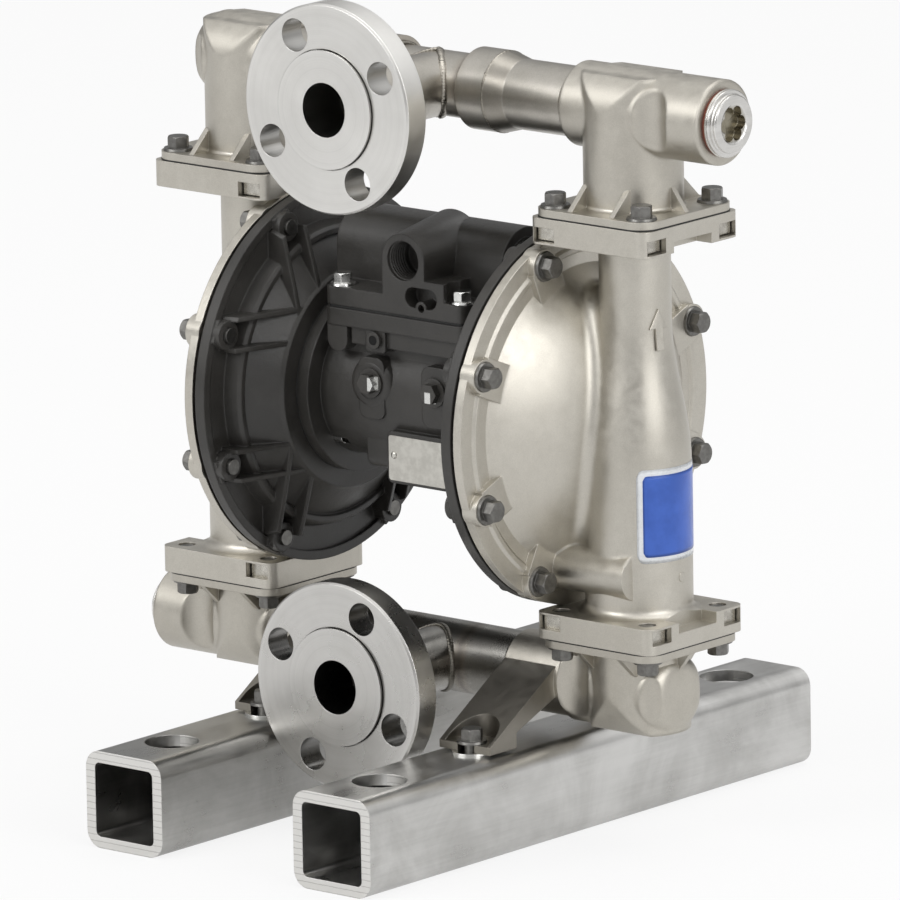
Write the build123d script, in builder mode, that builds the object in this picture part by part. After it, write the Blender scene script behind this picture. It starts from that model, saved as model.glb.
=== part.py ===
from build123d import *
from math import acos, asin, cos, degrees, radians, sin, sqrt
import os

os.makedirs("parts", exist_ok=True)

# Air operated double diaphragm pump on two floor rails, in millimetres.
# X runs along the diaphragm shaft, -Y faces the inlet and outlet flanges, Z is up.
# The origin is on the floor, at the centre of the four floor bolt holes.

# Main heights and spans
inlet_axis_z = 79.7
pump_axis_z = 217.5
outlet_axis_z = 378.4
column_x = 126.2
lower_joint_z = 108.2
upper_joint_z = 325.5

# Floor rails of square tube
rail_size = 50.8
rail_wall = 6.0
rail_corner = 9.0
rail_x = 69.4
rail_half_length = 176.0
access_hole_y = 138.5
access_hole_radius = 14.0
floor_hole_radius = 5.5

# Square manifold joint
square_size = 76.0
square_corner = 6.0
plate_size = 74.8
plate_corner = 11.0
neck_fillet = 2.0
elbow_plate = 4.6
cover_flange = 13.5
joint_bolt_pitch = 56.0
joint_hole_radius = 4.5

# Elbow castings
neck_radius = 25.4
body_radius = 21.8
port_radius = 14.0
outlet_body_start = 94.0
inlet_body_start = 87.0
long_body_end = 184.9
short_body_end = 153.0
neck_vault_height = 19.6
gusset_offset = 13.5
gusset_reach = 34.5
gusset_height = 12.0
gusset_thickness = 3.0
wrench_radius = 12.8
blind_round = 10.0
open_round = 1.0
body_start_chamfer = 2.0

# Feet cast with the inlet elbows
foot_start = 52.0
foot_width = 33.5
foot_sleeve_radius = 20.5
foot_toe_y = 71.0
foot_heel_y = 50.0
foot_leg_top = 17.0
foot_leg_drop = 1.5
foot_pad = 4.0
foot_plate = 8.0
foot_bolt_y = 66.0
foot_pocket_radius = 14.0
foot_slot_radius = 5.5
rivet_flange = 1.5
rivet_flange_radius = 10.5
rivet_body_radius = 6.5
rivet_body_length = 14.0

# Cross pipes and stub ends
outlet_tube_radius = 16.7
outlet_sleeve_radius = 21.15
outlet_shoulder_radius = 18.0
outlet_sleeve_start = 27.0
outlet_sleeve_end = 44.0
outlet_shoulder_end = 56.0
inlet_tube_radius = 18.4
branch_radius = 16.7
branch_end_y = 62.0

# Loose lap joint flanges
flange_radius = 54.0
flange_thickness = 15.0
flange_face_y = 91.2
flange_pcd = 82.4
flange_hole_radius = 8.5
outlet_hole_angle = 28.9
inlet_hole_angle = 65.4
lap_radius = 30.5
lap_thickness = 4.3
raised_face = 1.8
ring_clearance = 0.5

# Ball checks
ball_radius = 16.0
ball_travel = 8.0
guide_clearance = 0.4
lobe_radius = 4.5
lobe_circle = 16.6
seat_radius = 22.0
seat_height = 9.0
seat_bore = 10.5
seat_cone = 4.0
seat_gap = 0.3
seat_fit = 0.1
stop_radius = 11.0
oring_section = 1.2
oring_circle = 25.2
oring_clearance = 0.1

# Fluid covers
rim_radius = 97.5
rim_inner_x = 87.0
rim_outer_x = 92.0
ridge_height = 1.4
ridge_outer_radius = 89.0
ridge_inner_radius = 84.0
dome_radius = 78.0
dome_height = 28.0
cover_wall = 5.0
bolt_circle = 89.4
bolt_seat_x = 96.0
bolt_boss_radius = 8.9
bolt_boss_width = 20.0
bolt_boss_root = 6.0
bolt_seat_radius = 8.7
bolt_seat_cut = 10.0
pocket_start = 28.0
pocket_depth = 8.0
pocket_wall = 6.0
cover_bolt_angles = (22.5, 67.5, 112.5, 157.5, 202.5, 241.5, 298.5, 337.5)
cover_hole_radius = 4.4
column_foot_radius = 27.4
column_head_radius = 18.3
column_taper_start = 198.0
column_taper_end = 272.0
column_bore = 13.0
saddle_fillet = 6.0
foot_fillet = 4.5
side_boss_radius = 12.0
side_boss_y = 20.0
side_boss_z = 143.0
side_boss_end = 141.0

# Flange bolts
bolt_shank = 4.0
bolt_flange_radius = 7.9
bolt_flange_height = 1.4
bolt_flats = 10.0
bolt_head_height = 7.4
bolt_top_chamfer = 0.8
cover_bolt_length = 23.5
nut_size = 12.5
nut_height = 7.0
slot_width = 14.0
slot_height = 7.6
slot_roof = 4.8
thread_clearance = 0.05

# Diaphragms and their plates
diaphragm_thickness = 2.0
diaphragm_radius = 84.3
fluid_plate_radius = 42.0
fluid_plate_thickness = 8.0
air_plate_radius = 55.0
air_plate_thickness = 7.0
convolution_radius = 5.5
convolution_circle = 63.0
stroke = 9.5

# Air covers
air_rim_thickness = 6.0
air_rim_width = 4.8
air_groove_depth = 2.0
air_ridge_inner = 73.0
air_ridge_outer = 78.0
air_ridge_x = 73.5
air_ridge_height = 1.6
air_ridge_slope = 1.5
hub_face_x = 60.0
hub_radius = 57.0
hub_floor = 6.0
hub_slope = 1.5
stud_boss_height = 4.5
stud_boss_radius = 7.6
rib_thickness = 2.4
rib_offset = 7.8
rib_outer_x = 71.0
pad_floor = 2.0
air_chamber_radius = 76.0

# Centre housing
gasket_thickness = 1.0
housing_half_width = 31.0
housing_bottom = 180.0
housing_top = 263.5
end_disc_radius = 48.0
end_disc_thickness = 7.0
housing_core_radius = 38.0
block_half_length = 46.0
block_bottom_z = 205.0
apron_height = 18.0
apron_y = 39.6
lower_block_start = -27.0
lower_block_end = 48.0
lower_block_corner = 6.0
pad_overlap = 3.0
name_pad_corner = 3.0
plug_pad_corner = 5.0
plug_pad_width = 17.0
plug_pad_height = 32.0
plug_pad_z = 223.8
apron_gap = 8.0
apron_recess = 2.0
top_flange_thickness = 9.0
name_pad_y = 39.6
rear_boss_y = 38.0
name_pad_x = 21.0
name_pad_length = 54.0
name_pad_z = 190.0
name_pad_height = 27.0

# Shaft, bearings and seals
shaft_radius = 9.5
shaft_hole_clearance = 1.0
running_clearance = 0.05
bearing_radius = 12.5
bearing_start = 32.0
bearing_end = 48.0
seal_end = 56.0
seal_spring_outer = 2.2
seal_spring_inner = 0.9
stud_radius = 5.0
stud_length = 18.0

# Air valve
valve_base_length = 92.0
valve_base_width = 81.0
valve_base_height = 9.5
valve_base_corner = 4.0
gasket_inset = 1.0
plate_gap = 0.5
vent_wall = 1.6
valve_gasket = 1.5
valve_axis_height = 25.5
valve_barrel_radius = 19.5
valve_barrel_end = 55.0
valve_bolt_side_margin = 6.0
valve_bolt_front_margin = 8.0
inlet_port_x = 7.1
inlet_port_height = 28.2
inlet_port_radius = 10.3
inlet_port_depth = 17.0
inlet_boss_radius = 14.0
spool_radius = 9.0
spool_half_length = 38.0
spool_waist_radius = 6.0
end_cap_radius = 14.0
end_cap_thickness = 4.5
end_cap_inset = 2.5
ring_groove = 1.2
cap_ring_gap = 0.1
cap_ring_width = 2.4
valve_chest_length = 46.0
valve_chest_width = 26.0
inlet_passage_radius = 4.0
cup_length = 26.0
cup_width = 18.0
cup_height = 9.0
cup_wall = 2.5
cup_roof = 3.0
valve_plate_thickness = 3.0
valve_plate_length = 44.0
valve_plate_width = 24.0

# Pilot valves
pilot_height = 27.0
pilot_body_radius = 6.5
pilot_body_start = 38.0
pilot_pin_radius = 2.5
pilot_pin_length = 24.0
pin_gap = 0.3

# Muffler
muffler_radius = 21.0
muffler_length = 62.0
muffler_z = 206.0
muffler_stem_radius = 12.0
muffler_stem_length = 14.0
muffler_fillet = 4.0
muffler_band = 9.0
muffler_slots = 16
muffler_slot_depth = 3.0
muffler_slot_width = 2.4
muffler_boss_wall = 6.0

# Screws that hold the air covers to the centre housing
screw_circle = 36.0
screw_radius = 3.0
screw_head_radius = 5.0
screw_head_depth = 3.5
screw_length = 16.0

# Air valve bolts and passages
valve_bolt_radius = 3.0
valve_bolt_depth = 12.0
valve_bolt_scale = 0.86
valve_seat_radius = 8.0
valve_seat_depth = 0.4
joint_slack = 0.4
valve_port_pitch = 12.0
valve_port_width = 5.0
valve_port_length = 14.0
valve_port_depth = 10.0
kidney_x = 18.7
kidney_z = 10.0
kidney_length = 21.0
kidney_height = 10.5
kidney_depth = 9.0
kidney_ledge = 9.5
kidney_block = 30.6
vent_radius = 2.0
inlet_boss_flare = 20.2
seal_places = (30.0, 35.0)
seal_width = 2.4
seal_depth = 2.0

# Bosses on the front of the centre housing, as x, z, radius and the y of their face
plug_boss_y = 38.6
cap_boss_radius = 6.5
ground_boss_size = 13.0
ground_x = -13.0
cap_x = -38.5
cap_z = 247.0
ground_z = 249.6
plug_left_x = -17.0
plug_right_x = 25.0
plug_z = 226.8
plug_thread_radius = 5.0
ground_thread_radius = 3.0
plug_depth = 8.0
plug_washer_radius = 7.6
plug_washer_height = 1.4
plug_hex = 9.5
plug_hex_height = 4.2
ground_head_radius = 4.4
ground_head_height = 2.0

# Port plugs
plug_flange_radius = 17.3
plug_flange_thickness = 3.2
plug_nose_radius = 14.8
plug_nose_thickness = 2.7
plug_shank_length = 12.0
plug_shank_clearance = 0.1
plug_socket_radius = 9.0
plug_socket_depth = 5.0
plug_oring = 1.2
plug_seal_step = 0.4

# Derived places
plate_top_z = upper_joint_z + elbow_plate
plate_bottom_z = lower_joint_z - elbow_plate
rail_top_z = rail_size
foot_bottom_z = rail_top_z + rivet_flange
inlet_seat_top = lower_joint_z + seat_height
outlet_seat_top = upper_joint_z
contact_radius = ball_radius * sin(radians(45))
ball_rise = contact_radius - (seat_bore + seat_cone - contact_radius) + seat_gap * sqrt(2)
inlet_ball_z = inlet_seat_top + ball_rise
outlet_ball_z = outlet_seat_top + ball_rise
inlet_stop_z = inlet_ball_z + ball_radius + ball_travel + seat_gap
outlet_stop_z = outlet_ball_z + ball_radius + ball_travel + seat_gap
dome_sphere = (dome_radius ** 2 + dome_height ** 2) / (2 * dome_height)
dome_centre_x = rim_outer_x + dome_height - dome_sphere
inner_sphere = dome_sphere - cover_wall
chamber_radius = sqrt(inner_sphere ** 2 - (rim_inner_x - dome_centre_x) ** 2)
air_joint_x = rim_inner_x - diaphragm_thickness
air_rim_x = air_joint_x - air_rim_thickness
hub_floor_x = hub_face_x + hub_floor
housing_end_x = hub_face_x - gasket_thickness
valve_base_z = housing_top + valve_gasket
valve_axis_z = valve_base_z + valve_axis_height
valve_front_y = valve_base_width / 2
valve_bolt_x = valve_base_length / 2 - valve_bolt_side_margin
valve_bolt_y = valve_front_y - valve_bolt_front_margin
pilot_z = pump_axis_z + pilot_height
pilot_tip_x = air_joint_x - air_plate_thickness - stroke - pin_gap

pump_plane = Plane(origin=(0, 0, pump_axis_z), x_dir=(1, 0, 0), z_dir=(0, -1, 0))
pump_axis = Axis((0, 0, pump_axis_z), (1, 0, 0))


def save(builder, name):
    """Label a finished piece and write it."""
    builder.part.label = name
    export_step(builder.part, f"parts/{name}.step")


def turned(builder):
    """The same piece on the other side of the pump, turned half round about Z."""
    with BuildPart() as other:
        add(builder.part, rotation=(0, 0, 180))
    return other


def x_plane(x, z=0.0):
    """A sketch plane across X, with local x along Y and local y along Z."""
    return Plane(origin=(x, 0, z), x_dir=(0, 1, 0), z_dir=(1, 0, 0))


def front_plane(y, z=0.0):
    """A sketch plane that faces -Y, with local x along X and local y along Z."""
    return Plane(origin=(0, y, z), x_dir=(1, 0, 0), z_dir=(0, -1, 0))


def corner_points(pitch, centre_x=0.0, centre_y=0.0):
    """The four corners of a square bolt pattern."""
    half = pitch / 2
    return [(centre_x + sx * half, centre_y + sy * half) for sx in (-1, 1) for sy in (-1, 1)]


def flange_bolt(plane, length, shank=bolt_shank, scale=1.0):
    """A hex flange bolt whose head stands on the plane and whose shank runs behind it."""
    flats = bolt_flats * scale
    top = bolt_head_height * scale
    with BuildPart() as head:
        with BuildSketch(plane.offset(bolt_flange_height * scale / 2)):
            RegularPolygon(flats / 2, 6, major_radius=False)
        extrude(amount=top - bolt_flange_height * scale / 2)
        with BuildSketch(plane):
            Circle(flats / 2 / cos(radians(30)) + top - bolt_top_chamfer * scale)
        extrude(amount=top, taper=45, mode=Mode.INTERSECT)
    with BuildPart() as bolt:
        with BuildSketch(plane):
            Circle(bolt_flange_radius * scale)
        extrude(amount=bolt_flange_height * scale, taper=20)
        add(head.part)
        with BuildSketch(plane):
            Circle(shank)
        extrude(amount=-length)
    return bolt


def group(pieces):
    """Several separate solids as one node."""
    with BuildPart() as together:
        for piece in pieces:
            add(piece.part)
    return together


# Floor rails
def build_rail(side):
    with BuildPart() as rail:
        with BuildSketch(front_plane(-rail_half_length)):
            with Locations((side * rail_x, rail_size / 2)):
                RectangleRounded(rail_size, rail_size, rail_corner)
                inner = rail_size - 2 * rail_wall
                RectangleRounded(inner, inner, rail_corner - rail_wall, mode=Mode.SUBTRACT)
        extrude(amount=-2 * rail_half_length)
        for y in (-access_hole_y, access_hole_y):
            with Locations((side * rail_x, y, rail_size)):
                Hole(access_hole_radius, depth=2 * rail_wall)
            with Locations((side * rail_x, y, rail_wall)):
                Hole(floor_hole_radius, depth=rail_wall)
        for y in (-foot_bolt_y, foot_bolt_y):
            with Locations((side * rail_x, y, rail_size)):
                Hole(rivet_body_radius + thread_clearance, depth=2 * rail_wall)
    return rail


def build_rivet_nuts():
    with BuildPart() as nuts:
        for x in (-rail_x, rail_x):
            for y in (-foot_bolt_y, foot_bolt_y):
                with BuildSketch(Plane.XY.offset(rail_top_z)):
                    with Locations((x, y)):
                        Circle(rivet_flange_radius)
                        Circle(bolt_shank + thread_clearance, mode=Mode.SUBTRACT)
                extrude(amount=rivet_flange)
                with BuildSketch(Plane.XY.offset(rail_top_z)):
                    with Locations((x, y)):
                        Circle(rivet_body_radius)
                        Circle(bolt_shank + thread_clearance, mode=Mode.SUBTRACT)
                extrude(amount=-rivet_body_length)
    return nuts


def build_foot_bolts():
    length = foot_pad + rivet_flange + rivet_body_length
    seat_z = foot_bottom_z + foot_pad
    places = [(x, y) for x in (-rail_x, rail_x) for y in (-foot_bolt_y, foot_bolt_y)]
    return group([flange_bolt(Plane(origin=(x, y, seat_z)), length) for x, y in places])


# Ball cage outline: a round guide with four flow lobes
def cage_sketch(plane):
    with BuildSketch(plane) as cage:
        with Locations((column_x, 0)):
            Circle(ball_radius + guide_clearance)
            with PolarLocations(lobe_circle, 4, start_angle=45):
                Circle(lobe_radius)
    return cage


def build_elbow(pipe_z, joint_z, body_start, body_end, end_round, wrench_sides):
    """An elbow casting on the +X side: square plate, neck, vault and cross body."""
    up = 1 if pipe_z > joint_z else -1
    height = abs(pipe_z - joint_z)
    base_z = joint_z + up * elbow_plate
    ledge_y = sqrt(neck_radius ** 2 - gusset_offset ** 2)
    with BuildPart() as elbow:
        with BuildSketch(Plane.XY.offset(joint_z)):
            with Locations((column_x, 0)):
                Circle(neck_radius)
        extrude(amount=up * (height + neck_vault_height))
        with BuildSketch(x_plane(column_x - neck_radius)):
            with Locations((0, pipe_z)):
                Circle(neck_radius)
            with Locations((0, pipe_z - up * height / 2)):
                Rectangle(2 * neck_radius, height)
        extrude(amount=2 * neck_radius, mode=Mode.INTERSECT)
        with BuildSketch(front_plane(0, pipe_z)):
            with BuildLine():
                Polyline(
                    (body_end, 0),
                    (body_start, 0),
                    (body_start, body_radius - body_start_chamfer),
                    (body_start + body_start_chamfer, body_radius),
                    (body_end - end_round, body_radius),
                )
                bend = end_round * (1 - sin(radians(45)))
                ThreePointArc(
                    (body_end - end_round, body_radius),
                    (body_end - bend, body_radius - bend),
                    (body_end, body_radius - end_round),
                )
                Line((body_end, body_radius - end_round), (body_end, 0))
            make_face()
        revolve(axis=Axis((0, 0, pipe_z), (1, 0, 0)))
        with BuildSketch(Plane.XY.offset(joint_z)):
            with Locations((column_x, 0)):
                RectangleRounded(plate_size, plate_size, plate_corner)
            with Locations(*corner_points(joint_bolt_pitch, column_x)):
                Circle(joint_hole_radius, mode=Mode.SUBTRACT)
        extrude(amount=up * elbow_plate)
        foot_ring = elbow.edges().filter_by(GeomType.CIRCLE).filter_by(
            lambda e: abs(e.radius - neck_radius) < 0.1 and abs(e.center().Z - base_z) < 0.1
        )
        fillet(foot_ring, neck_fillet)
        for offset in (-gusset_offset, gusset_offset):
            with BuildSketch(x_plane(column_x + offset - gusset_thickness / 2)):
                with BuildLine():
                    Polyline(
                        (-gusset_reach, base_z),
                        (gusset_reach, base_z),
                        (ledge_y, base_z + up * gusset_height),
                        (-ledge_y, base_z + up * gusset_height),
                        close=True,
                    )
                make_face()
            extrude(amount=gusset_thickness)
        with BuildSketch(front_plane(-gusset_thickness / 2)):
            with BuildLine():
                Polyline(
                    (column_x - gusset_reach, base_z),
                    (column_x + gusset_reach, base_z),
                    (column_x + neck_radius, base_z + up * gusset_height),
                    (column_x - neck_radius, base_z + up * gusset_height),
                    close=True,
                )
            make_face()
        extrude(amount=-gusset_thickness)
        # room for a wrench over the bolts
        half = joint_bolt_pitch / 2
        with BuildSketch(Plane.XY.offset(base_z)):
            with Locations(*[(column_x + sx * half, sy * half) for sx in wrench_sides for sy in (-1, 1)]):
                Circle(wrench_radius)
        extrude(amount=up * (height + neck_radius), mode=Mode.SUBTRACT)
        # groove for the seal ring around the ball seat
        groove_start = oring_circle - oring_section - oring_clearance
        groove_end = oring_circle + oring_section + oring_clearance
        with BuildSketch(Plane.XY.offset(joint_z)):
            with Locations((column_x, 0)):
                Circle(groove_end)
                Circle(groove_start, mode=Mode.SUBTRACT)
        extrude(amount=up * 2 * (oring_section + oring_clearance), mode=Mode.SUBTRACT)
    return elbow


def build_outlet_elbow(body_end, end_round, bore_end):
    casting = build_elbow(outlet_axis_z, upper_joint_z, outlet_body_start, body_end, end_round, (1,))
    with BuildPart() as elbow:
        add(casting.part)
        cage = cage_sketch(Plane.XY.offset(upper_joint_z))
        extrude(cage.sketch, amount=outlet_stop_z - upper_joint_z, mode=Mode.SUBTRACT)
        with BuildSketch(Plane.XY.offset(outlet_stop_z - 1)):
            with Locations((column_x, 0)):
                Circle(stop_radius)
        extrude(amount=outlet_axis_z - outlet_stop_z + 1, mode=Mode.SUBTRACT)
        with BuildSketch(x_plane(outlet_body_start, outlet_axis_z)):
            Circle(port_radius)
        extrude(amount=bore_end - outlet_body_start, mode=Mode.SUBTRACT)
    return elbow


def build_foot(casting):
    """Cast foot on an inlet elbow: a pipe sleeve with a sloping leg to the front and to the back."""
    leg_top_y = foot_leg_top
    leg_top_z = inlet_axis_z + sqrt(foot_sleeve_radius ** 2 - leg_top_y ** 2) - foot_leg_drop
    with BuildPart() as footed:
        add(casting.part)
        with BuildSketch(x_plane(foot_start)):
            with Locations((0, inlet_axis_z)):
                Circle(foot_sleeve_radius)
        extrude(amount=inlet_body_start - foot_start + 1)
        for side in (-1, 1):
            with BuildSketch(x_plane(foot_start)):
                with BuildLine():
                    Polyline(
                        (side * foot_toe_y, foot_bottom_z),
                        (side * foot_toe_y, foot_bottom_z + foot_pad),
                        (side * leg_top_y, leg_top_z),
                        (0, inlet_axis_z),
                        (side * leg_top_y, leg_top_z - 2 * foot_plate),
                        (side * foot_heel_y, foot_bottom_z + foot_plate),
                        (side * foot_heel_y, foot_bottom_z),
                        close=True,
                    )
                make_face()
            extrude(amount=foot_width)
            with BuildSketch(Plane.XY.offset(foot_bottom_z + foot_pad)):
                with Locations((rail_x, side * foot_bolt_y)):
                    Circle(foot_pocket_radius)
                with Locations((rail_x, side * (foot_bolt_y + foot_pocket_radius))):
                    Rectangle(2 * foot_pocket_radius, 2 * foot_pocket_radius)
            extrude(amount=inlet_axis_z, mode=Mode.SUBTRACT)
            with BuildSketch(Plane.XY.offset(foot_bottom_z)):
                with Locations((rail_x, side * foot_bolt_y)):
                    Circle(foot_slot_radius)
                with Locations((rail_x, side * (foot_bolt_y + foot_pocket_radius))):
                    Rectangle(2 * foot_slot_radius, 2 * foot_pocket_radius)
            extrude(amount=foot_pad, mode=Mode.SUBTRACT)
    return footed


def build_inlet_elbow(body_end, end_round, bore_end):
    casting = build_elbow(inlet_axis_z, lower_joint_z, inlet_body_start, body_end, end_round, (-1, 1))
    footed = build_foot(casting)
    with BuildPart() as elbow:
        add(footed.part)
        with BuildSketch(Plane.XY.offset(inlet_axis_z)):
            with Locations((column_x, 0)):
                Circle(column_bore)
        extrude(amount=lower_joint_z - inlet_axis_z, mode=Mode.SUBTRACT)
        with BuildSketch(x_plane(foot_start, inlet_axis_z)):
            Circle(port_radius)
        extrude(amount=bore_end - foot_start, mode=Mode.SUBTRACT)
    return elbow


# Cross pipes with their branch
def build_outlet_pipe():
    half = outlet_body_start
    with BuildPart() as pipe:
        with BuildSketch(front_plane(0, outlet_axis_z)):
            with BuildLine():
                Polyline(
                    (-half, 0),
                    (-half, outlet_shoulder_radius),
                    (-outlet_shoulder_end, outlet_shoulder_radius),
                    (-outlet_sleeve_end, outlet_sleeve_radius),
                    (-outlet_sleeve_start, outlet_sleeve_radius),
                    (-outlet_sleeve_start, outlet_tube_radius),
                    (outlet_sleeve_start, outlet_tube_radius),
                    (outlet_sleeve_start, outlet_sleeve_radius),
                    (outlet_sleeve_end, outlet_sleeve_radius),
                    (outlet_shoulder_end, outlet_shoulder_radius),
                    (half, outlet_shoulder_radius),
                    (half, 0),
                    close=True,
                )
            make_face()
        revolve(axis=Axis((0, 0, outlet_axis_z), (1, 0, 0)))
        with BuildSketch(front_plane(-branch_end_y, outlet_axis_z)):
            Circle(branch_radius)
        extrude(amount=-branch_end_y)
        with BuildSketch(front_plane(-branch_end_y, outlet_axis_z)):
            Circle(port_radius)
        extrude(amount=-branch_end_y, mode=Mode.SUBTRACT)
        with BuildSketch(x_plane(-half, outlet_axis_z)):
            Circle(port_radius)
        extrude(amount=2 * half, mode=Mode.SUBTRACT)
    return pipe


def build_inlet_pipe():
    with BuildPart() as pipe:
        with BuildSketch(x_plane(-foot_start, inlet_axis_z)):
            Circle(inlet_tube_radius)
        extrude(amount=2 * foot_start)
        with BuildSketch(front_plane(-branch_end_y, inlet_axis_z)):
            Circle(branch_radius)
        extrude(amount=-branch_end_y)
        with BuildSketch(front_plane(-branch_end_y, inlet_axis_z)):
            Circle(port_radius)
        extrude(amount=-branch_end_y, mode=Mode.SUBTRACT)
        with BuildSketch(x_plane(-foot_start, inlet_axis_z)):
            Circle(port_radius)
        extrude(amount=2 * foot_start, mode=Mode.SUBTRACT)
    return pipe


def build_stub_end(pipe_z):
    with BuildPart() as stub:
        with BuildSketch(front_plane(-branch_end_y, pipe_z)):
            Circle(branch_radius)
        extrude(amount=flange_face_y - branch_end_y)
        with BuildSketch(front_plane(-flange_face_y, pipe_z)):
            Circle(lap_radius)
        extrude(amount=-lap_thickness)
        with BuildSketch(front_plane(-branch_end_y, pipe_z)):
            Circle(port_radius)
        extrude(amount=flange_face_y - branch_end_y, mode=Mode.SUBTRACT)
    return stub


def build_flange_ring(pipe_z, hole_angle):
    face = flange_face_y - raised_face
    with BuildPart() as ring:
        with BuildSketch(front_plane(-face, pipe_z)):
            Circle(flange_radius)
            Circle(branch_radius + ring_clearance, mode=Mode.SUBTRACT)
            with PolarLocations(flange_pcd / 2, 4, start_angle=hole_angle):
                Circle(flange_hole_radius, mode=Mode.SUBTRACT)
        extrude(amount=-flange_thickness)
        with BuildSketch(front_plane(-face, pipe_z)):
            Circle(lap_radius + ring_clearance)
        extrude(amount=-(lap_thickness - raised_face + seat_gap), mode=Mode.SUBTRACT)
        rim = ring.edges().filter_by(GeomType.CIRCLE).filter_by(lambda e: e.radius > flange_radius - 1)
        chamfer(rim, 1.0)
    return ring


# Fluid cover
def square_flange(z, up):
    """Square flange that runs from the joint plane z into the cover."""
    with BuildPart() as flange:
        with BuildSketch(Plane.XY.offset(z)):
            with Locations((column_x, 0)):
                RectangleRounded(square_size, square_size, square_corner)
        extrude(amount=up * cover_flange)
    return flange


def flange_cutter(z, up):
    """Bolt holes, captive nut slots, outboard pocket and seat pocket of a square flange."""
    half = square_size / 2
    pitch = joint_bolt_pitch / 2
    depth = half - pitch + slot_width / 2
    with BuildPart() as cutter:
        with BuildSketch(Plane.XY.offset(z)):
            with Locations(*corner_points(joint_bolt_pitch, column_x)):
                Circle(joint_hole_radius)
        extrude(amount=up * cover_flange)
        with BuildSketch(Plane.XY.offset(z)):
            with Locations((column_x, 0)):
                Circle(seat_radius + seat_fit)
        extrude(amount=up * (seat_height + seat_fit))
        with BuildSketch(Plane.XY.offset(z + up * slot_roof)):
            for side in (-1, 1):
                with Locations((column_x - pitch, side * (half + 1 - depth / 2))):
                    Rectangle(slot_width, depth + 2)
                with Locations((column_x + half + 1 - depth / 2, side * pitch)):
                    Rectangle(depth + 2, slot_width)
        extrude(amount=up * slot_height)
        with BuildSketch(Plane.XY.offset(z + up * pocket_depth)):
            with Locations((column_x + half, 0)):
                Rectangle(2 * (half - pocket_start), joint_bolt_pitch - slot_width - 2 * pocket_wall)
        extrude(amount=up * cover_flange)
    return cutter


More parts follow.
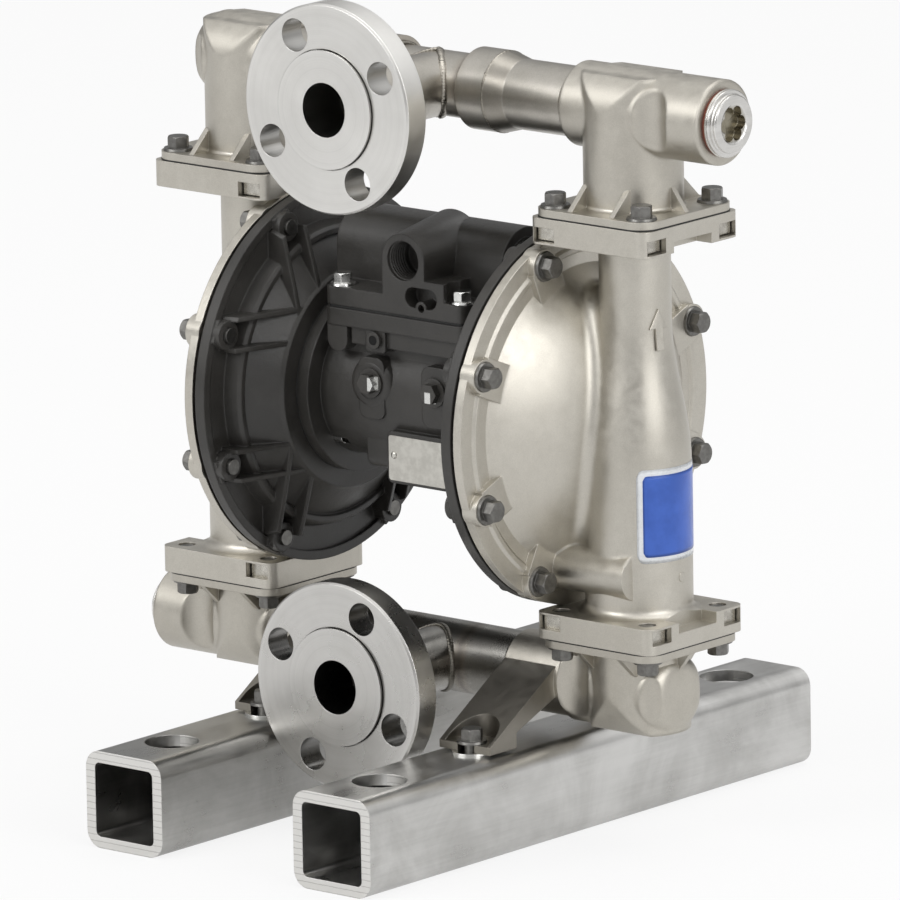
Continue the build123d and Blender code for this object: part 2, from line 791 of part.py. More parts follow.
def build_fluid_cover():
    lower_flange = square_flange(lower_joint_z, 1)
    upper_flange = square_flange(upper_joint_z, -1)
    lower_cutter = flange_cutter(lower_joint_z, 1)
    upper_cutter = flange_cutter(upper_joint_z, -1)
    with BuildPart() as cover:
        with BuildSketch(pump_plane):
            with BuildLine():
                mid_r = dome_radius / 2
                Polyline(
                    (dome_centre_x + dome_sphere, 0),
                    (rim_inner_x, 0),
                    (rim_inner_x, rim_radius),
                    (rim_outer_x, rim_radius),
                    (rim_outer_x, ridge_outer_radius),
                    (rim_outer_x + ridge_height, ridge_outer_radius - ridge_height),
                    (rim_outer_x + ridge_height, ridge_inner_radius + ridge_height),
                    (rim_outer_x, ridge_inner_radius),
                    (rim_outer_x, dome_radius),
                )
                ThreePointArc(
                    (rim_outer_x, dome_radius),
                    (dome_centre_x + sqrt(dome_sphere ** 2 - mid_r ** 2), mid_r),
                    (dome_centre_x + dome_sphere, 0),
                )
            make_face()
        revolve(axis=pump_axis)
        with BuildSketch(front_plane(0)):
            with BuildLine():
                Polyline(
                    (column_x, upper_joint_z),
                    (column_x, lower_joint_z),
                    (column_x + column_foot_radius, lower_joint_z),
                    (column_x + column_foot_radius, column_taper_start),
                )
                Spline(
                    (column_x + column_foot_radius, column_taper_start),
                    (column_x + column_head_radius, column_taper_end),
                    tangents=[(0, 1), (0, 1)],
                )
                Polyline(
                    (column_x + column_head_radius, column_taper_end),
                    (column_x + column_head_radius, upper_joint_z),
                    (column_x, upper_joint_z),
                )
            make_face()
        revolve(axis=Axis((column_x, 0, 0), (0, 0, 1)))
        # soft blends where the column grows out of the dish and where it stands on its flange
        saddle = cover.edges().filter_by(GeomType.BSPLINE).filter_by(lambda e: e.center().X < column_x)
        fillet(saddle, saddle_fillet)
        add(lower_flange.part)
        add(upper_flange.part)
        foot_top = lower_joint_z + cover_flange
        foot = cover.edges().filter_by(GeomType.CIRCLE).filter_by(
            lambda e: abs(e.radius - column_foot_radius) < 0.1 and abs(e.center().Z - foot_top) < 0.1
        )
        fillet(foot, foot_fillet)
        reach = bolt_circle - dome_radius + bolt_boss_root
        with BuildSketch(x_plane(rim_inner_x, pump_axis_z)):
            for angle in cover_bolt_angles:
                with PolarLocations(bolt_circle, 1, start_angle=angle):
                    Circle(bolt_boss_radius)
                    with Locations((-reach / 2, 0)):
                        Rectangle(reach, bolt_boss_width)
        extrude(amount=bolt_seat_x - rim_inner_x)
        with BuildSketch(x_plane(rim_outer_x, side_boss_z)):
            with Locations((-side_boss_y, 0)):
                Circle(side_boss_radius)
        extrude(amount=side_boss_end - rim_outer_x)
        # pumping chamber
        with BuildSketch(pump_plane):
            with BuildLine():
                inner_mid = chamber_radius / 2
                Polyline(
                    (dome_centre_x + inner_sphere, 0),
                    (rim_inner_x, 0),
                    (rim_inner_x, chamber_radius),
                )
                ThreePointArc(
                    (rim_inner_x, chamber_radius),
                    (dome_centre_x + sqrt(inner_sphere ** 2 - inner_mid ** 2), inner_mid),
                    (dome_centre_x + inner_sphere, 0),
                )
            make_face()
        revolve(axis=pump_axis, mode=Mode.SUBTRACT)
        with BuildSketch(x_plane(rim_outer_x, pump_axis_z)):
            Circle(column_bore)
        extrude(amount=column_x - rim_outer_x, mode=Mode.SUBTRACT)
        # flanges, ball cage and riser
        add(lower_cutter.part, mode=Mode.SUBTRACT)
        add(upper_cutter.part, mode=Mode.SUBTRACT)
        cage = cage_sketch(Plane.XY.offset(inlet_seat_top))
        extrude(cage.sketch, amount=inlet_stop_z - inlet_seat_top, mode=Mode.SUBTRACT)
        with BuildSketch(Plane.XY.offset(inlet_stop_z - 1)):
            with Locations((column_x, 0)):
                Circle(stop_radius)
        extrude(amount=upper_joint_z - inlet_stop_z + 1, mode=Mode.SUBTRACT)
        # clamp bolts: holes and flat seats
        with BuildSketch(x_plane(rim_inner_x, pump_axis_z)):
            for angle in cover_bolt_angles:
                with PolarLocations(bolt_circle, 1, start_angle=angle):
                    Circle(cover_hole_radius)
        extrude(amount=bolt_seat_x - rim_inner_x, mode=Mode.SUBTRACT)
        with BuildSketch(x_plane(bolt_seat_x, pump_axis_z)):
            for angle in cover_bolt_angles:
                with PolarLocations(bolt_circle, 1, start_angle=angle):
                    Circle(bolt_seat_radius)
        extrude(amount=bolt_seat_cut, mode=Mode.SUBTRACT)
    return cover


# Ball seats, seat rings and balls
def build_seat(z_top):
    with BuildPart() as seat:
        with BuildSketch(front_plane(0, z_top)):
            with BuildLine():
                Polyline(
                    (column_x + seat_bore, -seat_height),
                    (column_x + seat_radius, -seat_height),
                    (column_x + seat_radius, 0),
                    (column_x + seat_bore + seat_cone, 0),
                    (column_x + seat_bore, -seat_cone),
                    close=True,
                )
            make_face()
        revolve(axis=Axis((column_x, 0, 0), (0, 0, 1)))
    return seat


def build_seat_ring(joint_z, up):
    """Seal ring in the elbow groove around a ball seat."""
    with BuildPart() as ring:
        with BuildSketch(front_plane(0)):
            with Locations((column_x + oring_circle, joint_z + up * (oring_section + oring_clearance))):
                Circle(oring_section)
        revolve(axis=Axis((column_x, 0, 0), (0, 0, 1)))
    return ring


def build_ball(side, z):
    with BuildPart() as ball:
        with Locations((side * column_x, 0, z)):
            Sphere(ball_radius)
    return ball


# Manifold bolts and captive nuts
def build_manifold_bolts(seat_z, up):
    """Bolts through the elbow plates on both sides; up is the way their heads point."""
    length = elbow_plate + slot_roof + nut_height + 1
    places = corner_points(joint_bolt_pitch, column_x) + corner_points(joint_bolt_pitch, -column_x)
    return group([flange_bolt(Plane(origin=(x, y, seat_z), z_dir=(0, 0, up)), length) for x, y in places])


def build_manifold_nuts(joint_z, up):
    """Square nuts against the roof of their slots; up is the way to the joint plane."""
    places = corner_points(joint_bolt_pitch, column_x) + corner_points(joint_bolt_pitch, -column_x)
    with BuildPart() as nuts:
        with BuildSketch(Plane.XY.offset(joint_z - up * slot_roof)):
            with Locations(*places):
                Rectangle(nut_size, nut_size)
                Circle(bolt_shank + thread_clearance, mode=Mode.SUBTRACT)
        extrude(amount=-up * nut_height)
    return nuts


def build_cover_bolts():
    bolts = []
    for angle in cover_bolt_angles:
        y = bolt_circle * cos(radians(angle))
        z = pump_axis_z + bolt_circle * sin(radians(angle))
        seat = Plane(origin=(bolt_seat_x, y, z), x_dir=(0, 1, 0), z_dir=(1, 0, 0))
        bolts.append(flange_bolt(seat, cover_bolt_length))
    return group(bolts)


# Diaphragm: clamped rim, half round convolution and a flat clamped by the plates
def build_diaphragm():
    with BuildPart() as diaphragm:
        inner = convolution_circle - convolution_radius
        outer = convolution_circle + convolution_radius
        with BuildSketch(pump_plane):
            with BuildLine():
                Line((air_joint_x, stud_radius), (air_joint_x, inner))
                ThreePointArc(
                    (air_joint_x, inner),
                    (air_joint_x + convolution_radius, convolution_circle),
                    (air_joint_x, outer),
                )
                Polyline(
                    (air_joint_x, outer),
                    (air_joint_x, diaphragm_radius),
                    (rim_inner_x, diaphragm_radius),
                    (rim_inner_x, outer + diaphragm_thickness),
                )
                ThreePointArc(
                    (rim_inner_x, outer + diaphragm_thickness),
                    (rim_inner_x + convolution_radius, convolution_circle),
                    (rim_inner_x, inner - diaphragm_thickness),
                )
                Polyline(
                    (rim_inner_x, inner - diaphragm_thickness),
                    (rim_inner_x, stud_radius),
                    (air_joint_x, stud_radius),
                )
            make_face()
        revolve(axis=pump_axis)
    return diaphragm


def build_fluid_plate():
    """Fluid side plate with the stud that draws the diaphragm and air plate onto the shaft."""
    with BuildPart() as plate:
        edge = fluid_plate_thickness / 2
        with BuildSketch(pump_plane):
            with BuildLine():
                Polyline(
                    (rim_inner_x, 0),
                    (rim_inner_x, fluid_plate_radius),
                    (rim_inner_x + edge, fluid_plate_radius),
                    (rim_inner_x + fluid_plate_thickness, fluid_plate_radius / 2),
                    (rim_inner_x + fluid_plate_thickness, 0),
                    close=True,
                )
            make_face()
        revolve(axis=pump_axis)
        with BuildSketch(x_plane(rim_inner_x, pump_axis_z)):
            Circle(stud_radius - running_clearance)
        extrude(amount=-(diaphragm_thickness + stud_length))
    return plate


def build_air_plate():
    with BuildPart() as plate:
        with BuildSketch(x_plane(air_joint_x, pump_axis_z)):
            Circle(air_plate_radius)
            Circle(stud_radius, mode=Mode.SUBTRACT)
        extrude(amount=-air_plate_thickness)
        rim = plate.edges().filter_by(GeomType.CIRCLE).filter_by(lambda e: e.radius > air_plate_radius - 1)
        fillet(rim, air_plate_thickness / 3)
    return plate


def pair_of(builder):
    """A piece and its twin on the other side of the pump as one node."""
    return group([builder, turned(builder)])


def build_center_shaft():
    end_x = air_joint_x - air_plate_thickness
    with BuildPart() as shaft:
        with BuildSketch(x_plane(-end_x, pump_axis_z)):
            Circle(shaft_radius)
        extrude(amount=2 * end_x)
        for side in (-1, 1):
            with BuildSketch(x_plane(side * end_x, pump_axis_z)):
                Circle(stud_radius)
            extrude(amount=-side * stud_length, mode=Mode.SUBTRACT)
    return shaft


# Air covers
def build_cover_ribs():
    """Pairs of sloping ribs from the hub to the bolt bosses, all level or all upright."""
    with BuildPart() as ribs:
        with BuildSketch(x_plane(hub_face_x, pump_axis_z)):
            for angle in cover_bolt_angles:
                y = bolt_circle * cos(radians(angle))
                z = bolt_circle * sin(radians(angle))
                for offset in (-rib_offset, rib_offset):
                    if abs(y) > abs(z):
                        with Locations((y / 2, z + offset)):
                            Rectangle(abs(y), rib_thickness)
                    else:
                        with Locations((y + offset, z / 2)):
                            Rectangle(rib_thickness, abs(z))
        extrude(amount=air_joint_x - hub_face_x)
        with BuildSketch(pump_plane):
            with BuildLine():
                Polyline(
                    (air_joint_x, 0),
                    (hub_face_x + 1, 0),
                    (hub_face_x + 1, hub_radius),
                    (rib_outer_x, bolt_circle),
                    (air_rim_x, bolt_circle + rib_thickness),
                    (air_joint_x, bolt_circle + rib_thickness),
                    close=True,
                )
            make_face()
        revolve(axis=pump_axis, mode=Mode.INTERSECT)
    return ribs


def build_air_cover():
    ribs = build_cover_ribs()
    groove_x = air_rim_x + air_groove_depth
    groove_r = rim_radius - air_rim_width
    with BuildPart() as cover:
        with BuildSketch(pump_plane):
            with BuildLine():
                Polyline(
                    (hub_face_x, 0),
                    (hub_face_x, hub_radius),
                    (hub_face_x + 2, hub_radius + hub_slope),
                    (air_ridge_x, air_ridge_inner),
                    (air_ridge_x - air_ridge_height, air_ridge_inner + 1),
                    (air_ridge_x - air_ridge_height, air_ridge_outer - air_ridge_slope),
                    (air_ridge_x, air_ridge_outer),
                    (groove_x, air_ridge_outer + 2),
                    (groove_x, groove_r),
                    (air_rim_x, groove_r),
                    (air_rim_x, rim_radius),
                    (air_joint_x, rim_radius),
                    (air_joint_x, 0),
                    close=True,
                )
            make_face()
        revolve(axis=pump_axis)
        with BuildSketch(x_plane(air_joint_x, pump_axis_z)):
            for angle in cover_bolt_angles:
                with PolarLocations(bolt_circle, 1, start_angle=angle):
                    Circle(stud_boss_radius)
        extrude(amount=-(air_rim_thickness + stud_boss_height))
        with BuildSketch(x_plane(air_joint_x, pump_axis_z)):
            for angle in cover_bolt_angles:
                with PolarLocations(bolt_circle + stud_boss_radius / 2, 1, start_angle=angle):
                    Rectangle(stud_boss_radius - 1, 1.6 * stud_boss_radius)
        extrude(amount=-(air_rim_thickness + pad_floor))
        add(ribs.part)
        # air chamber
        with BuildSketch(pump_plane):
            with BuildLine():
                Polyline(
                    (hub_floor_x, 0),
                    (hub_floor_x, hub_radius),
                    (air_rim_x, air_chamber_radius - 1),
                    (air_joint_x, air_chamber_radius),
                    (air_joint_x, 0),
                    close=True,
                )
            make_face()
        revolve(axis=pump_axis, mode=Mode.SUBTRACT)
        # shaft, pilot valve and screw holes through the hub
        with BuildSketch(x_plane(hub_face_x, pump_axis_z)):
            Circle(shaft_radius + shaft_hole_clearance)
            with Locations((0, pilot_height)):
                Circle(pilot_body_radius + running_clearance)
            with PolarLocations(screw_circle, 4, start_angle=45):
                Circle(screw_radius + thread_clearance)
        extrude(amount=hub_floor, mode=Mode.SUBTRACT)
        with BuildSketch(x_plane(hub_floor_x, pump_axis_z)):
            with PolarLocations(screw_circle, 4, start_angle=45):
                Circle(screw_head_radius + thread_clearance)
        extrude(amount=-screw_head_depth, mode=Mode.SUBTRACT)
        # threaded holes of the clamp bolts
        with BuildSketch(x_plane(air_joint_x, pump_axis_z)):
            for angle in cover_bolt_angles:
                with PolarLocations(bolt_circle, 1, start_angle=angle):
                    Circle(bolt_shank + thread_clearance)
        extrude(amount=-(air_rim_thickness + stud_boss_height), mode=Mode.SUBTRACT)
    return cover


def build_air_cover_gasket():
    with BuildPart() as gasket:
        with BuildSketch(x_plane(housing_end_x, pump_axis_z)):
            Circle(end_disc_radius)
            Circle(shaft_radius + shaft_hole_clearance, mode=Mode.SUBTRACT)
            with Locations((0, pilot_height)):
                Circle(pilot_body_radius + running_clearance, mode=Mode.SUBTRACT)
            with PolarLocations(screw_circle, 4, start_angle=45):
                Circle(screw_radius + thread_clearance, mode=Mode.SUBTRACT)
        extrude(amount=gasket_thickness)
    return gasket


def build_air_cover_screws():
    """Socket screws that hold an air cover to the centre housing from inside the chamber."""
    with BuildPart() as screws:
        with BuildSketch(x_plane(hub_floor_x, pump_axis_z)):
            with PolarLocations(screw_circle, 4, start_angle=45):
                Circle(screw_head_radius)
        extrude(amount=-screw_head_depth)
        with BuildSketch(x_plane(hub_floor_x - screw_head_depth, pump_axis_z)):
            with PolarLocations(screw_circle, 4, start_angle=45):
                Circle(screw_radius)
        extrude(amount=-screw_length)
    return screws


# Centre housing
def build_center_housing():
    inside_y = housing_half_width - pad_overlap
    block_height = housing_top - block_bottom_z
    lower_length = lower_block_end - lower_block_start
    apron_start = cap_x + apron_gap
    with BuildPart() as housing:
        # round core with an end disc on each side
        with BuildSketch(x_plane(-housing_end_x, pump_axis_z)):
            Circle(housing_core_radius)
        extrude(amount=2 * housing_end_x)
        for side in (-1, 1):
            with BuildSketch(x_plane(side * housing_end_x, pump_axis_z)):
                Circle(end_disc_radius)
            extrude(amount=-side * end_disc_thickness)
        # upper block under the valve and lower block behind the nameplate
        with BuildSketch(x_plane(-block_half_length, housing_top - block_height / 2)):
            Rectangle(2 * housing_half_width, block_height)
        extrude(amount=2 * block_half_length)
        with BuildSketch(x_plane(lower_block_start, (housing_bottom + pump_axis_z) / 2)):
            RectangleRounded(2 * housing_half_width, pump_axis_z - housing_bottom, lower_block_corner)
        extrude(amount=lower_length)
        with BuildSketch(Plane.XY.offset(housing_top)):
            RectangleRounded(valve_base_length, valve_base_width, valve_base_corner)
        extrude(amount=-top_flange_thickness)
        # apron, bosses and name pad on the front face, exhaust boss at the back
        with BuildSketch(front_plane(-inside_y, housing_top - apron_height / 2)):
            with Locations(((block_half_length + apron_start) / 2, 0)):
                Rectangle(block_half_length - apron_start, apron_height)
        extrude(amount=apron_y - inside_y - apron_recess)
        with BuildSketch(front_plane(-inside_y)):
            with Locations((plug_left_x, plug_pad_z), (plug_right_x, plug_pad_z)):
                RectangleRounded(plug_pad_width, plug_pad_height, plug_pad_corner)
        extrude(amount=plug_boss_y - inside_y)
        with BuildSketch(front_plane(-inside_y)):
            with Locations((cap_x, cap_z)):
                Circle(cap_boss_radius)
            with Locations((cap_x, (cap_z + housing_top) / 2)):
                Rectangle(2 * cap_boss_radius, housing_top - cap_z)
            with Locations((ground_x, ground_z)):
                RectangleRounded(ground_boss_size, ground_boss_size, 2)
        extrude(amount=apron_y - inside_y)
        with BuildSketch(front_plane(-inside_y, name_pad_z)):
            with Locations((name_pad_x, 0)):
                RectangleRounded(name_pad_length, name_pad_height, name_pad_corner)
        extrude(amount=name_pad_y - inside_y)
        with BuildSketch(front_plane(inside_y, muffler_z)):
            Circle(muffler_stem_radius + muffler_boss_wall)
        extrude(amount=-(rear_boss_y - inside_y))
        # bearing and shaft bores
        with BuildSketch(x_plane(-housing_end_x, pump_axis_z)):
            Circle(shaft_radius + shaft_hole_clearance)
        extrude(amount=2 * housing_end_x, mode=Mode.SUBTRACT)
        for side in (-1, 1):
            with BuildSketch(x_plane(side * bearing_start, pump_axis_z)):
                Circle(bearing_radius + running_clearance)
            extrude(amount=side * (seal_end - bearing_start), mode=Mode.SUBTRACT)
            with BuildSketch(x_plane(side * housing_end_x, pilot_z)):
                Circle(pilot_body_radius + running_clearance)
            extrude(amount=-side * (housing_end_x - pilot_body_start), mode=Mode.SUBTRACT)
            with BuildSketch(x_plane(side * housing_end_x, pump_axis_z)):
                with PolarLocations(screw_circle, 4, start_angle=45):
                    Circle(screw_radius + thread_clearance)
            extrude(amount=-side * screw_length, mode=Mode.SUBTRACT)
        # plug bores and the ground screw hole
        with BuildSketch(front_plane(-plug_boss_y, plug_z)):
            with Locations((plug_left_x, 0), (plug_right_x, 0)):
                Circle(plug_thread_radius + thread_clearance)
        extrude(amount=-plug_depth, mode=Mode.SUBTRACT)
        with BuildSketch(front_plane(-apron_y, ground_z)):
            with Locations((ground_x, 0)):
                Circle(ground_thread_radius + thread_clearance)
        extrude(amount=-plug_depth, mode=Mode.SUBTRACT)
        # exhaust port
        with BuildSketch(front_plane(rear_boss_y, muffler_z)):
            Circle(muffler_stem_radius + thread_clearance)
        extrude(amount=muffler_stem_length, mode=Mode.SUBTRACT)
        # air passages under the valve plate and the valve bolt holes
        with BuildSketch(Plane.XY.offset(housing_top)):
            with Locations((-valve_port_pitch, 0), (0, 0), (valve_port_pitch, 0)):
                Rectangle(valve_port_width, valve_port_length)
        extrude(amount=-valve_port_depth, mode=Mode.SUBTRACT)
        with BuildSketch(Plane.XY.offset(housing_top)):
            with Locations(*valve_bolt_places()):
                Circle(valve_bolt_radius + thread_clearance)
        extrude(amount=-valve_bolt_depth, mode=Mode.SUBTRACT)
    return housing


def build_shaft_bearings():
    with BuildPart() as bearings:
        for side in (-1, 1):
            with BuildSketch(x_plane(side * bearing_start, pump_axis_z)):
                Circle(bearing_radius)
                Circle(shaft_radius + running_clearance, mode=Mode.SUBTRACT)
            extrude(amount=side * (bearing_end - bearing_start))
    return bearings


def build_shaft_seals():
    with BuildPart() as seals:
        for side in (-1, 1):
            with BuildSketch(x_plane(side * bearing_end, pump_axis_z)):
                Circle(bearing_radius)
                Circle(shaft_radius + running_clearance, mode=Mode.SUBTRACT)
            extrude(amount=side * (seal_end - bearing_end))
            with BuildSketch(x_plane(side * seal_end, pump_axis_z)):
                Circle(shaft_radius + seal_spring_outer)
                Circle(shaft_radius + seal_spring_inner, mode=Mode.SUBTRACT)
            extrude(amount=-side * (seal_end - bearing_end) / 2, mode=Mode.SUBTRACT)
    return seals


def build_pilot_valves():
    with BuildPart() as valves:
        for side in (-1, 1):
            with BuildSketch(x_plane(side * pilot_body_start, pilot_z)):
                Circle(pilot_body_radius)
                Circle(pilot_pin_radius + running_clearance, mode=Mode.SUBTRACT)
            extrude(amount=side * (hub_floor_x - pilot_body_start))
    return valves


def build_pilot_pin(side):
    with BuildPart() as pin:
        with BuildSketch(x_plane(side * pilot_tip_x, pilot_z)):
            Circle(pilot_pin_radius)
        extrude(amount=-side * pilot_pin_length)
        tip = pin.edges().filter_by(GeomType.CIRCLE).sort_by(Axis.X)[-1 if side > 0 else 0]
        chamfer(tip, pilot_pin_radius / 3)
    return pin


def build_housing_plugs():
    with BuildPart() as plugs:
        places = ((plug_left_x, 0), (plug_right_x, 0))
        with BuildSketch(front_plane(-plug_boss_y, plug_z)):
            with Locations(*places):
                Circle(plug_thread_radius)
        extrude(amount=-plug_depth)
        with BuildSketch(front_plane(-plug_boss_y, plug_z)):
            with Locations(*places):
                Circle(plug_washer_radius)
        extrude(amount=plug_washer_height)
        with BuildSketch(front_plane(-plug_boss_y - plug_washer_height, plug_z)):
            with Locations(*places):
                RegularPolygon(plug_hex / 2, 6, major_radius=False)
        extrude(amount=plug_hex_height)
    return plugs


def build_ground_screw():
    with BuildPart() as screw:
        with BuildSketch(front_plane(-apron_y, ground_z)):
            with Locations((ground_x, 0)):
                Circle(ground_thread_radius)
        extrude(amount=-plug_depth)
        with BuildSketch(front_plane(-apron_y, ground_z)):
            with Locations((ground_x, 0)):
                Circle(ground_head_radius)
        extrude(amount=ground_head_height)
    return screw


def build_muffler():
    with BuildPart() as muffler:
        with BuildSketch(front_plane(rear_boss_y + muffler_length, muffler_z)):
            Circle(muffler_radius)
        extrude(amount=muffler_length)
        fillet(muffler.edges().filter_by(GeomType.CIRCLE), muffler_fillet)
        with BuildSketch(front_plane(rear_boss_y, muffler_z)):
            Circle(muffler_stem_radius)
        extrude(amount=muffler_stem_length)
        with BuildSketch(front_plane(rear_boss_y + muffler_length - muffler_band, muffler_z)):
            with PolarLocations(muffler_radius, muffler_slots):
                Rectangle(muffler_slot_depth, muffler_slot_width)
        extrude(amount=muffler_length - 2 * muffler_band, mode=Mode.SUBTRACT)
    return muffler


# Air valve
def build_valve_gasket():
    length = valve_base_length - 2 * gasket_inset
    width = valve_base_width - 2 * gasket_inset
    window_length = valve_plate_length + 2 * plate_gap
    window_width = valve_plate_width + 2 * plate_gap
    with BuildPart() as gasket:
        with BuildSketch(Plane.XY.offset(housing_top)):
            RectangleRounded(length, width, valve_base_corner - gasket_inset)
            Rectangle(window_length, window_width, mode=Mode.SUBTRACT)
            with Locations(*valve_bolt_places()):
                Circle(valve_bolt_radius + thread_clearance, mode=Mode.SUBTRACT)
        extrude(amount=valve_gasket)
    return gasket


def valve_bolt_places():
    return [(x, y) for x in (-valve_bolt_x, valve_bolt_x) for y in (-valve_bolt_y, valve_bolt_y)]


def build_valve_housing():
    port_z = valve_base_z + inlet_port_height
    ledge_z = valve_base_z + valve_base_height
    with BuildPart() as housing:
        with BuildSketch(Plane.XY.offset(valve_base_z)):
            RectangleRounded(valve_base_length, valve_base_width, valve_base_corner)
        extrude(amount=valve_base_height)
        with BuildSketch(x_plane(-valve_barrel_end, valve_axis_z)):
            Circle(valve_barrel_radius)
            with Locations((0, -valve_barrel_radius / 2)):
                Rectangle(2 * valve_barrel_radius, valve_barrel_radius)
        extrude(amount=2 * valve_barrel_end)
        with BuildSketch(front_plane(-valve_front_y, port_z)):
            with Locations((inlet_port_x, 0)):
                Circle(inlet_boss_radius)
        with BuildSketch(front_plane(0, port_z)):
            with Locations((inlet_port_x, 0)):
                Circle(inlet_boss_flare)
        loft()
        with BuildSketch(front_plane(-valve_front_y)):
            with Locations((inlet_port_x, (port_z + valve_base_z) / 2)):
                Rectangle(2 * inlet_boss_radius, inlet_port_height)
            with Locations((kidney_x, ledge_z)):
                Rectangle(kidney_block, 2 * kidney_ledge)
        extrude(amount=-valve_front_y)
        # spool bore, end cap recesses and the chest for the cup
        with BuildSketch(x_plane(-valve_barrel_end, valve_axis_z)):
            Circle(spool_radius + running_clearance)
        extrude(amount=2 * valve_barrel_end, mode=Mode.SUBTRACT)
        for side in (-1, 1):
            with BuildSketch(x_plane(side * valve_barrel_end, valve_axis_z)):
                Circle(end_cap_radius + running_clearance)
            extrude(amount=-side * (end_cap_inset + end_cap_thickness), mode=Mode.SUBTRACT)
        with BuildSketch(Plane.XY.offset(valve_base_z)):
            Rectangle(valve_chest_length, valve_chest_width)
        extrude(amount=valve_axis_height, mode=Mode.SUBTRACT)
        # threaded air inlet and its passage to the chest
        with BuildSketch(front_plane(-valve_front_y, port_z)):
            with Locations((inlet_port_x, 0)):
                Circle(inlet_port_radius)
        extrude(amount=-inlet_port_depth, mode=Mode.SUBTRACT)
        with BuildSketch(front_plane(inlet_port_depth - valve_front_y, port_z - inlet_passage_radius)):
            with Locations((inlet_port_x, 0)):
                Circle(inlet_passage_radius)
        extrude(amount=-(valve_front_y - inlet_port_depth), mode=Mode.SUBTRACT)
        # kidney shaped recess and the vent below it
        with BuildSketch(front_plane(-valve_front_y, valve_base_z + kidney_z)):
            with Locations((kidney_x, 0)):
                SlotOverall(kidney_length, kidney_height)
            with Locations((kidney_x, -kidney_height / 2)):
                Circle(vent_radius + vent_wall, mode=Mode.SUBTRACT)
        extrude(amount=-kidney_depth, mode=Mode.SUBTRACT)
        with BuildSketch(front_plane(-valve_front_y, valve_base_z + kidney_z - kidney_height / 2)):
            with Locations((kidney_x, 0)):
                Circle(vent_radius)
        extrude(amount=-kidney_depth, mode=Mode.SUBTRACT)
        # bolt holes and flat seats on the ledge
        with BuildSketch(Plane.XY.offset(valve_base_z)):
            with Locations(*valve_bolt_places()):
                Circle(valve_bolt_radius + joint_slack)
        extrude(amount=valve_base_height, mode=Mode.SUBTRACT)
        with BuildSketch(Plane.XY.offset(ledge_z - valve_seat_depth)):
            with Locations(*valve_bolt_places()):
                Circle(valve_seat_radius)
        extrude(amount=valve_axis_height, mode=Mode.SUBTRACT)
    return housing


def build_valve_bolts():
    seat_z = valve_base_z + valve_base_height - valve_seat_depth
    length = seat_z - housing_top + valve_bolt_depth - 1
    seats = [Plane(origin=(x, y, seat_z)) for x, y in valve_bolt_places()]
    return group([flange_bolt(seat, length, valve_bolt_radius, valve_bolt_scale) for seat in seats])


def build_end_caps():
    with BuildPart() as caps:
        for side in (-1, 1):
            start = valve_barrel_end - end_cap_inset - end_cap_thickness
            with BuildSketch(x_plane(side * start, valve_axis_z)):
                Circle(end_cap_radius)
            extrude(amount=side * end_cap_thickness)
            with BuildSketch(x_plane(side * (start + end_cap_thickness), valve_axis_z)):
                Circle(end_cap_radius * 0.55)
            extrude(amount=-side * end_cap_thickness / 3, mode=Mode.SUBTRACT)
    return caps


def build_retaining_rings():
    with BuildPart() as rings:
        for side in (-1, 1):
            with BuildSketch(x_plane(side * (valve_barrel_end - end_cap_inset), valve_axis_z)):
                Circle(end_cap_radius - cap_ring_gap)
                Circle(end_cap_radius - cap_ring_width, mode=Mode.SUBTRACT)
                with Locations((0, -end_cap_radius)):
                    Rectangle(5, 6, mode=Mode.SUBTRACT)
            extrude(amount=side * ring_groove)
    return rings


def build_spool():
    with BuildPart() as spool:
        land = spool_half_length / 3
        waist = cup_length / 2 + 1
        with BuildSketch(front_plane(0, valve_axis_z)):
            with BuildLine():
                Polyline(
                    (-spool_half_length, 0),
                    (-spool_half_length, spool_radius),
                    (-spool_half_length + land, spool_radius),
                    (-waist, spool_waist_radius),
                    (waist, spool_waist_radius),
                    (spool_half_length - land, spool_radius),
                    (spool_half_length, spool_radius),
                    (spool_half_length, 0),
                    close=True,
                )
            make_face()
        revolve(axis=Axis((0, 0, valve_axis_z), (1, 0, 0)))
        for side in (-1, 1):
            for x in seal_places:
                with BuildSketch(x_plane(side * x, valve_axis_z)):
                    Circle(spool_radius + 1)
                    Circle(spool_radius - seal_depth, mode=Mode.SUBTRACT)
                extrude(amount=side * seal_width, mode=Mode.SUBTRACT)
    return spool


def build_spool_seals():
    with BuildPart() as seals:
        for side in (-1, 1):
            for x in seal_places:
                with BuildSketch(x_plane(side * x, valve_axis_z)):
                    Circle(spool_radius)
                    Circle(spool_radius - seal_depth, mode=Mode.SUBTRACT)
                extrude(amount=side * seal_width)
    return seals


def build_air_cup():
    """Sliding cup that the spool carries across the valve plate."""
    base = housing_top + valve_plate_thickness + running_clearance
    with BuildPart() as cup:
        with BuildSketch(Plane.XY.offset(base)):
            RectangleRounded(cup_length, cup_width, 4)
        extrude(amount=cup_height)
        with BuildSketch(Plane.XY.offset(base)):
            RectangleRounded(cup_length - 2 * cup_wall, cup_width - 2 * cup_wall, 3)
        extrude(amount=cup_height - cup_roof, mode=Mode.SUBTRACT)
        with BuildSketch(Plane.XY.offset(base + cup_height)):
            Rectangle(cup_length - 4, cup_width / 2)
        extrude(amount=valve_axis_z - base - cup_height)
        with BuildSketch(x_plane(-cup_length, valve_axis_z)):
            Circle(spool_waist_radius + running_clearance)
        extrude(amount=2 * cup_length, mode=Mode.SUBTRACT)
    return cup


def build_valve_plate():
    with BuildPart() as plate:
        with BuildSketch(Plane.XY.offset(housing_top)):
            Rectangle(valve_plate_length, valve_plate_width)
            with Locations((-valve_port_pitch, 0), (0, 0), (valve_port_pitch, 0)):
                Rectangle(valve_port_width, valve_port_length, mode=Mode.SUBTRACT)
        extrude(amount=valve_plate_thickness)
    return plate


